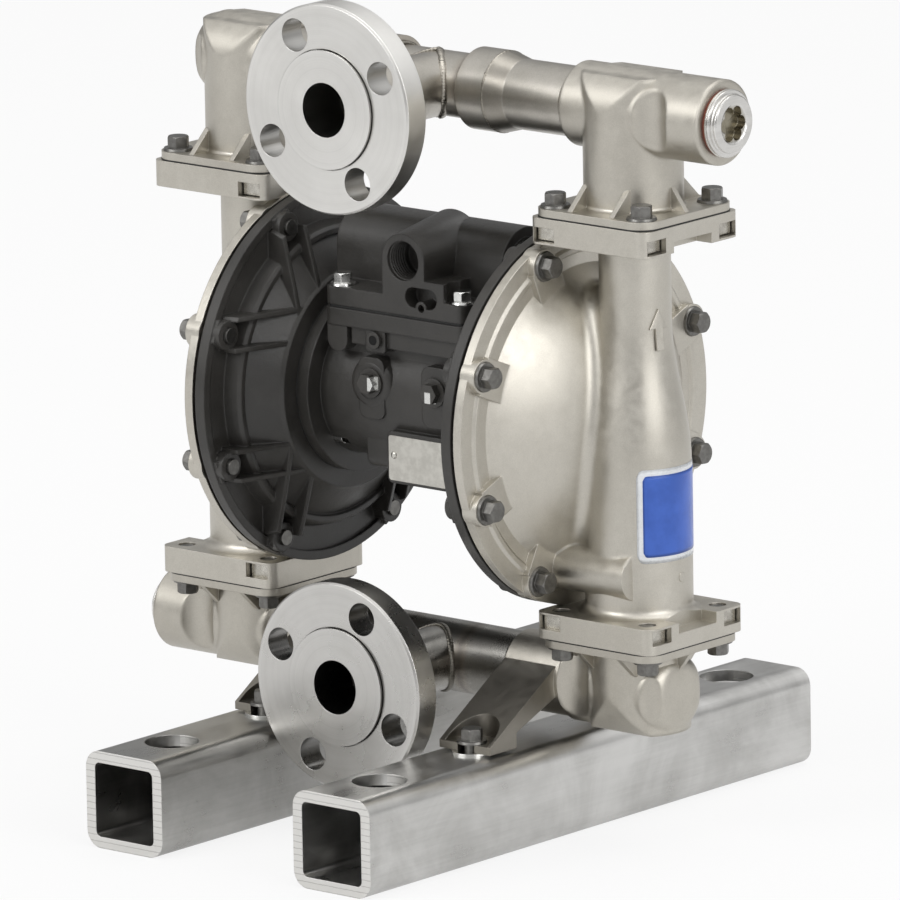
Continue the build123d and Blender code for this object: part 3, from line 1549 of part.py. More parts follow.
# Port plugs on the two long elbows
def build_port_plug(pipe_z):
    face = long_body_end + plug_oring
    with BuildPart() as plug:
        with BuildSketch(x_plane(face, pipe_z)):
            Circle(plug_flange_radius)
        extrude(amount=plug_flange_thickness)
        with BuildSketch(x_plane(face + plug_flange_thickness, pipe_z)):
            Circle(plug_nose_radius)
        extrude(amount=plug_nose_thickness)
        with BuildSketch(x_plane(face, pipe_z)):
            Circle(port_radius - plug_shank_clearance)
        extrude(amount=-plug_shank_length)
        with BuildSketch(x_plane(face + plug_flange_thickness + plug_nose_thickness, pipe_z)):
            RegularPolygon(plug_socket_radius, 3)
            RegularPolygon(plug_socket_radius, 3, rotation=60)
        extrude(amount=-plug_socket_depth, mode=Mode.SUBTRACT)
    return plug


def build_plug_oring(pipe_z):
    with BuildPart() as ring:
        with BuildSketch(x_plane(long_body_end, pipe_z)):
            Circle(plug_flange_radius - plug_seal_step)
            Circle(port_radius, mode=Mode.SUBTRACT)
        extrude(amount=plug_oring)
    return ring


# Frame
save(build_rail(-1), "rail_left")
save(build_rail(1), "rail_right")
save(build_rivet_nuts(), "rail_rivet_nuts")
save(build_foot_bolts(), "foot_bolts")

# Manifolds
save(build_outlet_elbow(long_body_end, open_round, long_body_end), "outlet_elbow_right")
save(turned(build_outlet_elbow(short_body_end, blind_round, column_x)), "outlet_elbow_left")
save(build_inlet_elbow(short_body_end, blind_round, column_x), "inlet_elbow_right")
save(turned(build_inlet_elbow(long_body_end, open_round, long_body_end)), "inlet_elbow_left")
save(build_outlet_pipe(), "outlet_pipe")
save(build_inlet_pipe(), "inlet_pipe")
save(build_stub_end(outlet_axis_z), "outlet_stub_end")
save(build_stub_end(inlet_axis_z), "inlet_stub_end")
save(build_flange_ring(outlet_axis_z, outlet_hole_angle), "outlet_flange")
save(build_flange_ring(inlet_axis_z, inlet_hole_angle), "inlet_flange")
save(group([build_port_plug(outlet_axis_z), turned(build_port_plug(inlet_axis_z))]), "port_plugs")
save(group([build_plug_oring(outlet_axis_z), turned(build_plug_oring(inlet_axis_z))]), "port_plug_orings")

# Fluid side
fluid_cover = build_fluid_cover()
save(fluid_cover, "fluid_cover_right")
save(turned(fluid_cover), "fluid_cover_left")
save(pair_of(build_seat(inlet_seat_top)), "inlet_ball_seats")
save(pair_of(build_seat(outlet_seat_top)), "outlet_ball_seats")
save(pair_of(build_seat_ring(lower_joint_z, -1)), "inlet_seat_orings")
save(pair_of(build_seat_ring(upper_joint_z, 1)), "outlet_seat_orings")
for side, side_name in ((-1, "left"), (1, "right")):
    save(build_ball(side, inlet_ball_z), f"inlet_ball_{side_name}")
    save(build_ball(side, outlet_ball_z), f"outlet_ball_{side_name}")
save(build_manifold_bolts(plate_top_z, 1), "outlet_manifold_bolts")
save(build_manifold_bolts(plate_bottom_z, -1), "inlet_manifold_bolts")
save(build_manifold_nuts(upper_joint_z, 1), "outlet_manifold_nuts")
save(build_manifold_nuts(lower_joint_z, -1), "inlet_manifold_nuts")
cover_bolts = build_cover_bolts()
save(cover_bolts, "cover_bolts_right")
save(turned(cover_bolts), "cover_bolts_left")

# Diaphragms and shaft
diaphragm = build_diaphragm()
save(diaphragm, "diaphragm_right")
save(turned(diaphragm), "diaphragm_left")
save(pair_of(build_fluid_plate()), "fluid_side_plates")
save(pair_of(build_air_plate()), "air_side_plates")
save(build_center_shaft(), "diaphragm_shaft")

# Air side
air_cover = build_air_cover()
save(air_cover, "air_cover_right")
save(turned(air_cover), "air_cover_left")
save(pair_of(build_air_cover_gasket()), "air_cover_gaskets")
save(pair_of(build_air_cover_screws()), "air_cover_screws")
save(build_center_housing(), "center_housing")
save(build_shaft_bearings(), "shaft_bearings")
save(build_shaft_seals(), "shaft_seals")
save(build_pilot_valves(), "pilot_valve_bodies")
save(build_pilot_pin(-1), "pilot_pin_left")
save(build_pilot_pin(1), "pilot_pin_right")
save(build_housing_plugs(), "housing_plugs")
save(build_ground_screw(), "ground_screw")
save(build_muffler(), "muffler")
save(build_valve_gasket(), "air_valve_gasket")
save(build_valve_plate(), "air_valve_plate")
save(build_valve_housing(), "air_valve_housing")
save(build_valve_bolts(), "air_valve_bolts")
save(build_end_caps(), "air_valve_end_caps")
save(build_retaining_rings(), "air_valve_retaining_rings")
save(build_spool(), "valve_spool")
save(build_spool_seals(), "valve_spool_seals")
save(build_air_cup(), "air_valve_cup")
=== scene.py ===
import math
import random

import bmesh
import bpy
from mathutils import Matrix, Vector


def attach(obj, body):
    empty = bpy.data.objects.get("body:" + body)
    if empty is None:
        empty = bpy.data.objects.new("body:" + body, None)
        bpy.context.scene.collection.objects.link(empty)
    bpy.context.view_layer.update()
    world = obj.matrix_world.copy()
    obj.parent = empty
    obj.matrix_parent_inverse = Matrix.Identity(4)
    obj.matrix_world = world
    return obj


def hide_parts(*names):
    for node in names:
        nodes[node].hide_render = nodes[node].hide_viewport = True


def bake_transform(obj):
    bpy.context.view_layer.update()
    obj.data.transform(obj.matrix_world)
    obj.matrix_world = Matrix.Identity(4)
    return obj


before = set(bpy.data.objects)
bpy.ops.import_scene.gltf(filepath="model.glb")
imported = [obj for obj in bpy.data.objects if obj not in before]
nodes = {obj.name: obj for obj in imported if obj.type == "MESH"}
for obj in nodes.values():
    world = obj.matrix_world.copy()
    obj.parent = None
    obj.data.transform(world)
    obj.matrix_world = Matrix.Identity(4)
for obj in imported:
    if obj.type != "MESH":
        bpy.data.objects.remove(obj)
bpy.context.scene.view_settings.view_transform = "Standard"
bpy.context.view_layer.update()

MM = 0.001

# Places from the model, in millimetres
PUMP_Z = 217.5
INLET_Z = 79.7
OUTLET_Z = 378.4
COLUMN_X = 126.2
COLUMN_FOOT_R = 27.4
COLUMN_HEAD_R = 18.3
TAPER_START = 198.0
TAPER_END = 272.0
OUTLET_TUBE_R = 16.7
OUTLET_SLEEVE_R = 21.15
INLET_TUBE_R = 18.4
BRANCH_R = 16.7
OUTLET_SHOULDER_R = 18.0
PLUG_FACE_X = 192.0
PLUG_SEAT_X = 184.9
GROUND_X = -13.0
GROUND_Z = 249.6
LEFT_PLUG_X = -17.0
LEFT_PLUG_Z = 226.8
LABEL_Z = 174.6
ARROW_FOOT_Z = 258.0
ARROW_TIP_Z = 279.0
NAMEPLATE_X = 21.0
NAMEPLATE_Z = 189.7
AIR_INLET_X = 7.1
AIR_INLET_Z = 293.2
BRIGHT_FLAT_PATCHES = ((-15.6, -10.8, 222.6, 231.4), (22.6, 27.4, 220.4, 228.6))
UPPER_JOINT_Z = 325.5
LOWER_JOINT_Z = 108.2
SEAM_HEIGHT = 0.75
SEAM_INNER = 37.3
SEAM_OUTER = 37.56
JOINT_CORNER_R = 11.0
STUB_WELD_Y = -62.0
SLEEVE_START = 27.0
SLEEVE_END = 44.0
SHOULDER_END = 56.0
OUTLET_ELBOW_X = 94.0
INLET_PIPE_END = 52.0
DIAPHRAGM_AIR_X = 85.0
DIAPHRAGM_FLUID_X = 87.0
DIAPHRAGM_RIM_R = 84.3
CONVOLUTION_R = 5.5
CONVOLUTION_CIRCLE = 63.0
STUD_R = 5.0
WEDGES = 16


# Camera
CAMERA_PLACE = (4.2924, -5.0395, 1.6628)
CAMERA_YAW = 40.41
CAMERA_PITCH = -12.57
CAMERA_ROLL = -1.0
FOCAL_PIXELS = 13268.0
PICTURE_PIXELS = 900.0
SENSOR_WIDTH = 36.0


def add_camera():
    """The camera at the place and angle the photograph was taken from."""
    yaw = math.radians(CAMERA_YAW)
    pitch = math.radians(CAMERA_PITCH)
    roll = math.radians(CAMERA_ROLL)
    forward = Vector((-math.sin(yaw) * math.cos(pitch), math.cos(yaw) * math.cos(pitch), math.sin(pitch)))
    right = Vector((math.cos(yaw), math.sin(yaw), 0.0))
    up = right.cross(forward)
    turned_right = right * math.cos(roll) + up * math.sin(roll)
    turned_up = up * math.cos(roll) - right * math.sin(roll)
    data = bpy.data.cameras.new("photo_camera")
    data.sensor_fit = "HORIZONTAL"
    data.sensor_width = SENSOR_WIDTH
    data.lens = FOCAL_PIXELS / PICTURE_PIXELS * SENSOR_WIDTH
    data.clip_start = 0.1
    data.clip_end = 60.0
    camera = bpy.data.objects.new("photo_camera", data)
    bpy.context.scene.collection.objects.link(camera)
    columns = Matrix((turned_right, turned_up, -forward)).transposed()
    camera.matrix_world = Matrix.Translation(CAMERA_PLACE) @ columns.to_4x4()
    bpy.context.scene.camera = camera


# Nodes
def feed(tree, socket, value):
    """Sets a socket to a number or colour, or links it."""
    if isinstance(value, bpy.types.NodeSocket):
        tree.links.new(value, socket)
    elif isinstance(value, tuple) and len(value) == 3 and socket.type == "RGBA":
        socket.default_value = (*value, 1.0)
    else:
        socket.default_value = value


def math_node(tree, operation, a, b=0.0):
    """A product, sum or the like of two numbers or sockets."""
    node = tree.nodes.new("ShaderNodeMath")
    node.operation = operation
    feed(tree, node.inputs[0], a)
    feed(tree, node.inputs[1], b)
    return node.outputs[0]


def range_node(tree, value, low, high, to_low=0.0, to_high=1.0):
    """A value eased from one range into another."""
    node = tree.nodes.new("ShaderNodeMapRange")
    node.interpolation_type = "SMOOTHSTEP"
    feed(tree, node.inputs["Value"], value)
    node.inputs["From Min"].default_value = low
    node.inputs["From Max"].default_value = high
    node.inputs["To Min"].default_value = to_low
    node.inputs["To Max"].default_value = to_high
    return node.outputs["Result"]


class Surface:
    """A node material with one principled shader, and short calls for the nodes that feed it."""

    def __init__(self, name):
        self.material = bpy.data.materials.new(name)
        self.material.use_nodes = True
        self.tree = self.material.node_tree
        self.tree.nodes.clear()
        out = self.tree.nodes.new("ShaderNodeOutputMaterial")
        self.shader = self.tree.nodes.new("ShaderNodeBsdfPrincipled")
        self.link(self.shader.outputs["BSDF"], out.inputs["Surface"])
        self.coords = self.tree.nodes.new("ShaderNodeTexCoord").outputs["Object"]

    def link(self, source, target):
        """Joins two sockets."""
        self.tree.links.new(source, target)

    def set(self, **values):
        """Sets or links sockets of the shader, an underscore standing for a space in their names."""
        for name, value in values.items():
            feed(self.tree, self.shader.inputs[name.replace("_", " ")], value)

    def fed(self, name):
        """What already feeds a socket of the shader."""
        return self.shader.inputs[name].links[0].from_socket

    def place(self, scale=(1.0, 1.0, 1.0), move=(0.0, 0.0, 0.0)):
        """The object coordinate, scaled and moved."""
        node = self.tree.nodes.new("ShaderNodeMapping")
        self.link(self.coords, node.inputs["Vector"])
        node.inputs["Scale"].default_value = scale
        node.inputs["Location"].default_value = move
        return node.outputs["Vector"]

    def noise(self, scale, detail=3.0, rough=0.55, at=None, distort=0.0):
        """Clouds or grain in the solid material."""
        node = self.tree.nodes.new("ShaderNodeTexNoise")
        self.link(at or self.coords, node.inputs["Vector"])
        node.inputs["Scale"].default_value = scale
        node.inputs["Detail"].default_value = detail
        node.inputs["Roughness"].default_value = rough
        node.inputs["Distortion"].default_value = distort
        return node.outputs["Fac"]

    def ring_noise(self, radius, scale, detail):
        """Noise that changes with the distance from an axis only."""
        node = self.tree.nodes.new("ShaderNodeTexNoise")
        node.noise_dimensions = "1D"
        self.link(radius, node.inputs["W"])
        node.inputs["Scale"].default_value = scale
        node.inputs["Detail"].default_value = detail
        return node.outputs["Fac"]

    def math(self, operation, a, b=0.0):
        """A math node of this material."""
        return math_node(self.tree, operation, a, b)

    def spread(self, value, low, high, to_low=0.0, to_high=1.0):
        """An easing of this material, by default into nought to one."""
        return range_node(self.tree, value, low, high, to_low, to_high)

    def mix(self, share, first, second, kind="RGBA", blend="MIX"):
        """Two colours, vectors or numbers blended into one."""
        node = self.tree.nodes.new("ShaderNodeMix")
        node.data_type = kind
        node.blend_type = blend
        feed(self.tree, node.inputs["Factor"], share)
        feed(self.tree, node.inputs["A"], first)
        feed(self.tree, node.inputs["B"], second)
        return node.outputs["Result"]

    def bump(self, height, distance, strength, under):
        """A normal with relief, over another normal."""
        node = self.tree.nodes.new("ShaderNodeBump")
        self.link(height, node.inputs["Height"])
        node.inputs["Distance"].default_value = distance
        node.inputs["Strength"].default_value = strength
        self.link(under, node.inputs["Normal"])
        return node.outputs["Normal"]

    def soft_edge(self, radius):
        """A normal that rounds the edges, for that radius in metres."""
        node = self.tree.nodes.new("ShaderNodeBevel")
        node.samples = 4
        node.inputs["Radius"].default_value = radius
        return node.outputs["Normal"]

    def axis_part(self, axis):
        """The object coordinate along one axis, in metres."""
        node = self.tree.nodes.new("ShaderNodeSeparateXYZ")
        self.link(self.coords, node.inputs["Vector"])
        return node.outputs[axis]

    def facing(self, axis):
        """How far the surface itself faces along one axis, without its sign."""
        geometry = self.tree.nodes.new("ShaderNodeNewGeometry")
        node = self.tree.nodes.new("ShaderNodeSeparateXYZ")
        self.link(geometry.outputs["True Normal"], node.inputs["Vector"])
        return self.math("ABSOLUTE", node.outputs[axis])

    def near(self, value, centre, width):
        """One at the centre, falling to nothing at that width."""
        away = self.math("ABSOLUTE", self.math("SUBTRACT", value, centre))
        return self.spread(away, 0.0, width, 1.0, 0.0)

    def from_axis(self, flat, centre):
        """The distance in metres from the axis through a centre; flat is nought along that axis."""
        move = tuple(-c * f for c, f in zip(centre, flat))
        node = self.tree.nodes.new("ShaderNodeVectorMath")
        node.operation = "LENGTH"
        self.link(self.place(scale=flat, move=move), node.inputs[0])
        return node.outputs["Value"]

    def round_tangent(self, axis):
        """Makes the stretched highlight run round an axis."""
        node = self.tree.nodes.new("ShaderNodeTangent")
        node.direction_type = "RADIAL"
        node.axis = axis
        self.link(node.outputs["Tangent"], self.shader.inputs["Tangent"])


# Materials
CAST_DARK = (0.50, 0.475, 0.422)
CAST_LIGHT = (0.575, 0.55, 0.495)
# Painted shade for the front of the inlet feet
FOOT_FRONT_PAINTED_SHADE = (0.235, 0.22, 0.192)
VAULT_RADIUS = 0.0028
STRAW_TINT = (0.25, 0.20, 0.145)
BLUE_TINT = (0.12, 0.112, 0.115)
CONE_TINT = (0.17, 0.155, 0.13)
# Painted light on the rims of turned parts, capped by the brightest value below
RIM_PAINTED_LIGHT = 1.25
BRIGHTEST = 0.9
FLAT_AXES = {"X": (0.0, 1.0, 1.0), "Y": (1.0, 0.0, 1.0), "Z": (1.0, 1.0, 0.0)}

# Where one finish, rounding, painted light or painted shade runs over into the next, in metres
ELBOW_NECK_Z = (0.345, 0.352)
DISH_EDGE_R = (0.0745, 0.0720)
FOOT_BODY_Z = (0.092, 0.086)
FOOT_BODY_X = (0.086, 0.090)
FOOT_FRONT_Y = (0.018, 0.030)
FOOT_INNER_X = (0.088, 0.086)
FLANGE_HOLES_R = (0.0485, 0.0515)
PLUG_SOCKET_R = (0.0101, 0.0098)
SCREW_SOCKET_R = (0.0027, 0.0023)


def elbow_casting():
    """The outlet elbows, with wider rounding where the neck runs into the body."""
    s = cast_surface("cast_stainless_elbow", (0.47, 0.445, 0.395), (0.55, 0.525, 0.47))
    round_vault(s, s.spread(s.axis_part("Z"), *ELBOW_NECK_Z))
    return s.material


def cover_casting():
    """The fluid covers, with wide rounded edge shading where the bolt pads and the column run into the dish.
    """
    s = cast_surface("cast_stainless_cover", CAST_DARK, CAST_LIGHT)
    radius = s.from_axis(FLAT_AXES["X"], (0.0, 0.0, PUMP_Z * MM))
    round_vault(s, s.spread(radius, *DISH_EDGE_R))
    return s.material


def round_vault(s, share):
    """Mixes a wide soft edge into a casting's own normal where share is one."""
    s.set(Normal=s.mix(share, s.fed("Normal"), s.soft_edge(VAULT_RADIUS), "VECTOR"))


def foot_casting():
    """The inlet elbows in a darker copy of the casting as painted shade, with more painted shade on the front
    of the foot that leans on the rail, and smoother rounding on the foot's body.
    """
    # Painted shade: a darker copy of the cast stainless, for the shade low under the pump
    s = cast_surface("cast_stainless_foot_painted_shade", (0.45, 0.425, 0.375), (0.53, 0.505, 0.45))
    out = s.math("ABSOLUTE", s.axis_part("X"))
    body = s.math("MULTIPLY", s.spread(s.axis_part("Z"), *FOOT_BODY_Z), s.spread(out, *FOOT_BODY_X))
    round_vault(s, body)
    front = s.spread(s.math("MULTIPLY", s.axis_part("Y"), -1.0), *FOOT_FRONT_Y)
    foot = s.math("MULTIPLY", front, s.spread(out, *FOOT_INNER_X))
    # Painted shade on the front of the foot, next to the rail
    s.set(Base_Color=s.mix(foot, s.fed("Base Color"), FOOT_FRONT_PAINTED_SHADE))
    return s.material


def cast_surface(name, dark, light, rough_low=0.36, rough_high=0.44, edge=0.0006):
    """Bead blasted cast stainless: fine matte grain over a slightly uneven skin."""
    s = Surface(name)
    cloud = s.noise(22.0, 3.0, 0.5)
    mottle = s.noise(160.0, 5.0, 0.65)
    grain = s.noise(2200.0, 2.0, 0.6)
    tone = s.math("ADD", s.math("MULTIPLY", cloud, 0.5), s.math("MULTIPLY", mottle, 0.5))
    base = s.mix(s.spread(tone, 0.30, 0.70), dark, light)
    speck = s.spread(grain, 0.3, 0.7, 0.93, 1.04)
    s.set(Base_Color=s.mix(1.0, base, speck, blend="MULTIPLY"), Metallic=1.0)
    s.set(Roughness=s.spread(mottle, 0.35, 0.65, rough_low, rough_high))
    skin = s.bump(s.noise(260.0, 3.0, 0.5), 0.00012, 0.6, s.soft_edge(edge))
    s.set(Normal=s.bump(grain, 0.00005, 0.8, skin))
    return s


def pipe_metal(name, welds, dark, light, rough_low, rough_high, weld_cone=0.0):
    """Satin tube with a fine blasted grain and heat tint beside the welds, given as places along X."""
    s = Surface(name)
    lines = s.noise(1800.0, 2.0, 0.6)
    cloud = s.noise(45.0, 5.0, 0.62)
    tone = s.math("ADD", s.math("MULTIPLY", lines, 0.35), s.math("MULTIPLY", cloud, 0.65))
    base = s.mix(s.spread(tone, 0.32, 0.68), dark, light)
    cone = s.near(s.math("ABSOLUTE", s.axis_part("X")), (SLEEVE_END + SHOULDER_END) / 2 * MM, 0.0085)
    base = s.mix(s.math("MULTIPLY", s.spread(cone, 0.1, 0.4), weld_cone), base, CONE_TINT)
    wander = s.math("MULTIPLY", s.math("SUBTRACT", s.noise(90.0, 2.0), 0.5), 0.004)
    along = s.math("ADD", s.axis_part("X"), wander)
    for reach, strength, tint in ((0.008, 0.4, STRAW_TINT), (0.0035, 0.45, BLUE_TINT)):
        beside = [s.near(along, place, reach) for place in welds]
        stain = beside[0]
        for other in beside[1:]:
            stain = s.math("MAXIMUM", stain, other)
        base = s.mix(s.math("MULTIPLY", stain, strength), base, tint)
    s.set(Base_Color=base, Metallic=1.0)
    s.set(Roughness=s.spread(tone, 0.3, 0.7, rough_high, rough_low))
    s.set(Normal=s.bump(lines, 0.00004, 0.7, s.soft_edge(0.0005)))
    return s.material


def turned_surface(name, dark, light, rough_low, rough_high, height, axis="Y", stretch=0.55,
                   hole_painted_shade=0.45):
    """Bright metal turned on a lathe, with painted light on its rim and painted shade in its drilled holes.
    """
    s = Surface(name)
    radius = s.from_axis(FLAT_AXES[axis], (0.0, 0.0, height * MM))
    ring = s.ring_noise(radius, 2600.0, 3.0)
    wide = s.ring_noise(radius, 260.0, 2.0)
    cloud = s.noise(40.0, 4.0, 0.6)
    tone = s.math("ADD", s.math("MULTIPLY", ring, 0.25), s.math("MULTIPLY", cloud, 0.5))
    tone = s.math("ADD", tone, s.math("MULTIPLY", wide, 0.25))
    share = s.spread(tone, 0.34, 0.66)
    base = s.mix(share, dark, light)
    # Painted light: the rim is lightened for light it reflects
    rim = s.mix(share, *(tuple(min(BRIGHTEST, RIM_PAINTED_LIGHT * c) for c in tint) for tint in (dark, light)))
    # Painted shade: the holes are darkened for the shade inside them
    drilled = s.mix(share, *(tuple(hole_painted_shade * c for c in tint) for tint in (dark, light)))
    side = s.mix(s.spread(radius, *FLANGE_HOLES_R), drilled, rim)
    s.set(Base_Color=s.mix(s.spread(s.facing(axis), 0.3, 0.1), base, side), Metallic=1.0)
    s.set(Roughness=s.spread(cloud, 0.35, 0.65, rough_low, rough_high))
    s.set(Anisotropic=stretch)
    s.round_tangent(axis)
    s.set(Normal=s.bump(ring, 0.000006, 0.4, s.soft_edge(0.0005)))
    return s


def plug_metal():
    """Bright turned plug with painted shade in its star socket."""
    dark = (0.56, 0.55, 0.53)
    light = (0.70, 0.69, 0.67)
    s = turned_surface("turned_plug", dark, light, 0.16, 0.26, 0.0, axis="X", stretch=0.4)
    out = s.math("ABSOLUTE", s.axis_part("X"))
    radii = [s.from_axis(FLAT_AXES["X"], (0.0, 0.0, height * MM)) for height in (OUTLET_Z, INLET_Z)]
    radius = s.math("MINIMUM", *radii)
    depth = s.spread(out, (PLUG_FACE_X - 0.4) * MM, (PLUG_FACE_X - 1.0) * MM)
    plug_socket_painted_shade = s.math("MULTIPLY", s.spread(radius, *PLUG_SOCKET_R), depth)
    # Painted shade: the socket walls are darkened and browned for the shade deep inside them
    s.set(Base_Color=s.mix(plug_socket_painted_shade, s.fed("Base Color"), (0.30, 0.275, 0.215)))
    return s.material


def rail_metal(name, dark, light):
    """Mill finish square tube: long drawn streaks, blotches, and saw marks on the cut ends."""
    s = Surface(name)
    streak = s.noise(1.0, 5.0, 0.7, s.place(scale=(600.0, 22.0, 600.0)))
    stripe = s.noise(1.0, 3.0, 0.6, s.place(scale=(60.0, 7.0, 60.0)))
    blotch = s.noise(19.0, 5.0, 0.62, distort=0.6)
    tone = s.math("ADD", s.math("MULTIPLY", streak, 0.14), s.math("MULTIPLY", stripe, 0.26))
    tone = s.math("ADD", tone, s.math("MULTIPLY", blotch, 0.6))
    side = s.mix(s.spread(tone, 0.34, 0.66), dark, light)
    wave = s.tree.nodes.new("ShaderNodeTexWave")
    wave.wave_type = "BANDS"
    wave.bands_direction = "Z"
    wave.wave_profile = "SAW"
    s.link(s.coords, wave.inputs["Vector"])
    wave.inputs["Scale"].default_value = 95.0
    wave.inputs["Distortion"].default_value = 0.6
    wave.inputs["Detail"].default_value = 2.0
    wave.inputs["Detail Scale"].default_value = 6.0
    cut = s.mix(s.spread(wave.outputs["Fac"], 0.0, 0.22), (0.50, 0.49, 0.47), (0.74, 0.73, 0.705))
    end = s.spread(s.facing("Y"), 0.9, 0.95)
    s.set(Base_Color=s.mix(end, side, cut), Metallic=1.0)
    rough = s.spread(tone, 0.35, 0.65, 0.26, 0.40)
    s.set(Roughness=s.mix(end, rough, 0.5, "FLOAT"))
    marks = s.math("MULTIPLY", wave.outputs["Fac"], end)
    drawn = s.math("MULTIPLY", streak, s.math("SUBTRACT", 1.0, end))
    soft = s.soft_edge(0.0006)
    lines = s.bump(drawn, 0.00004, 0.8, soft)
    s.set(Normal=s.bump(marks, 0.0003, 0.8, lines))
    return s.material


def coated_metal():
    """Satin black coat on a sand casting: a dielectric skin with a fine pebbled texture."""
    s = Surface("satin_black_coat")
    cloud = s.noise(22.0, 4.0, 0.6)
    pebble = s.noise(900.0, 3.0, 0.6)
    lumps = s.noise(170.0, 3.0, 0.5)
    base = s.mix(s.spread(cloud, 0.35, 0.65), (0.025, 0.0235, 0.021), (0.042, 0.0395, 0.036))
    s.set(Base_Color=base, Metallic=0.0, Specular_IOR_Level=0.5)
    uneven = s.math("ADD", s.math("MULTIPLY", pebble, 0.4), s.math("MULTIPLY", cloud, 0.6))
    s.set(Roughness=s.spread(uneven, 0.35, 0.65, 0.30, 0.46))
    soft = s.soft_edge(0.0012)
    skin = s.bump(lumps, 0.00025, 0.5, soft)
    s.set(Normal=s.bump(pebble, 0.00008, 0.7, skin))
    return s.material


def plated_metal(name, dark, light, rough_low, rough_high, edge=0.0004, stains=260.0):
    """Plated or plain steel of bolts and nuts, with small stains and handling marks."""
    s = Surface(name)
    stain = s.noise(stains, 3.0, 0.5)
    fine = s.noise(1500.0, 3.0, 0.6)
    s.set(Base_Color=s.mix(s.spread(stain, 0.30, 0.70), dark, light), Metallic=1.0)
    s.set(Roughness=s.spread(fine, 0.35, 0.65, rough_low, rough_high))
    s.set(Normal=s.bump(fine, 0.00003, 0.7, s.soft_edge(edge)))
    return s.material


def masked_plug():
    """Plated plugs coated black with the housing, with one bright bare flat on each hex."""
    s = Surface("part_coated_plug")
    fine = s.noise(900.0, 3.0, 0.6)
    bare = None
    for low_x, high_x, low_z, high_z in BRIGHT_FLAT_PATCHES:
        across = s.near(s.axis_part("X"), (low_x + high_x) / 2 * MM, (high_x - low_x) / 2 * MM)
        upward = s.near(s.axis_part("Z"), (low_z + high_z) / 2 * MM, (high_z - low_z) / 2 * MM)
        patch = s.math("MULTIPLY", s.spread(across, 0.05, 0.20), s.spread(upward, 0.05, 0.20))
        bare = patch if bare is None else s.math("MAXIMUM", bare, patch)
    coat = s.mix(fine, (0.030, 0.028, 0.025), (0.060, 0.056, 0.05))
    s.set(Base_Color=s.mix(bare, coat, (0.68, 0.68, 0.66)))
    s.set(Metallic=s.math("MULTIPLY", bare, 0.7))
    s.set(Roughness=s.spread(bare, 0.0, 1.0, 0.36, 0.24))
    s.set(Normal=s.bump(fine, 0.00003, 0.6, s.soft_edge(0.0005)))
    return s.material


def socket_screw():
    """The ground screw: a black head with its empty socket painted as a near black spot of shade in its
    middle.
    """
    s = Surface("black_socket_screw")
    radius = s.from_axis(FLAT_AXES["Y"], (GROUND_X * MM, 0.0, GROUND_Z * MM))
    screw_socket_painted_shade = s.spread(radius, *SCREW_SOCKET_R)
    fine = s.noise(900.0, 3.0, 0.6)
    head = s.mix(fine, (0.030, 0.028, 0.025), (0.050, 0.047, 0.043))
    # Painted shade: the socket is a near black spot, shaped only by a bump
    s.set(Base_Color=s.mix(screw_socket_painted_shade, head, (0.002, 0.002, 0.002)))
    s.set(Roughness=s.spread(screw_socket_painted_shade, 0.0, 1.0, 0.36, 0.9))
    s.set(Normal=s.bump(s.math("SUBTRACT", 1.0, screw_socket_painted_shade), 0.0006, 1.0, s.soft_edge(0.0005)))
    return s.material


def moulded(name, dark, light, rough_low, rough_high, grain=700.0, height=0.00006, coat=0.0):
    """Rubber, plastic or ceramic with a slight cloud of colour and a fine surface grain."""
    s = Surface(name)
    cloud = s.noise(60.0, 4.0, 0.6)
    fine = s.noise(grain, 3.0, 0.6)
    s.set(Base_Color=s.mix(s.spread(cloud, 0.35, 0.65), dark, light), Metallic=0.0)
    s.set(Roughness=s.spread(fine, 0.35, 0.65, rough_low, rough_high))
    s.set(Coat_Weight=coat)
    s.set(Normal=s.bump(fine, height, 0.7, s.soft_edge(0.0004)))
    return s.material


def dress(material, *names):
    """Gives a better material to nodes that stay as they are."""
    for name in names:
        slots = nodes[name].material_slots
        if not slots:
            nodes[name].data.materials.append(material)
        for place in slots:
            place.material = material


CAST = cast_surface("cast_stainless", CAST_DARK, CAST_LIGHT).material
COVER_CAST = cover_casting()
ELBOW_CAST = elbow_casting()
FOOT_CAST_PAINTED_SHADE = foot_casting()
MACHINED_OUT = turned_surface("turned_outlet", (0.64, 0.63, 0.605), (0.72, 0.71, 0.685), 0.28, 0.34,
                              OUTLET_Z, hole_painted_shade=0.7).material
# Painted shade: the inlet flange and stub end are a darker copy of the outlet ones, for the floor shadow they
# reflect
MACHINED_IN_PAINTED_SHADE = turned_surface("turned_inlet_painted_shade", (0.52, 0.51, 0.49), (0.60, 0.59, 0.57), 0.26, 0.32,
                             INLET_Z).material
OUTLET_PIPE = pipe_metal("outlet_tube_metal", (-0.0235, 0.0235),
                         (0.39, 0.37, 0.33), (0.52, 0.495, 0.45), 0.28, 0.38, weld_cone=0.55)
INLET_PIPE = pipe_metal("inlet_tube_metal", (-0.020, 0.020),
                        (0.26, 0.25, 0.23), (0.38, 0.37, 0.345), 0.24, 0.34)
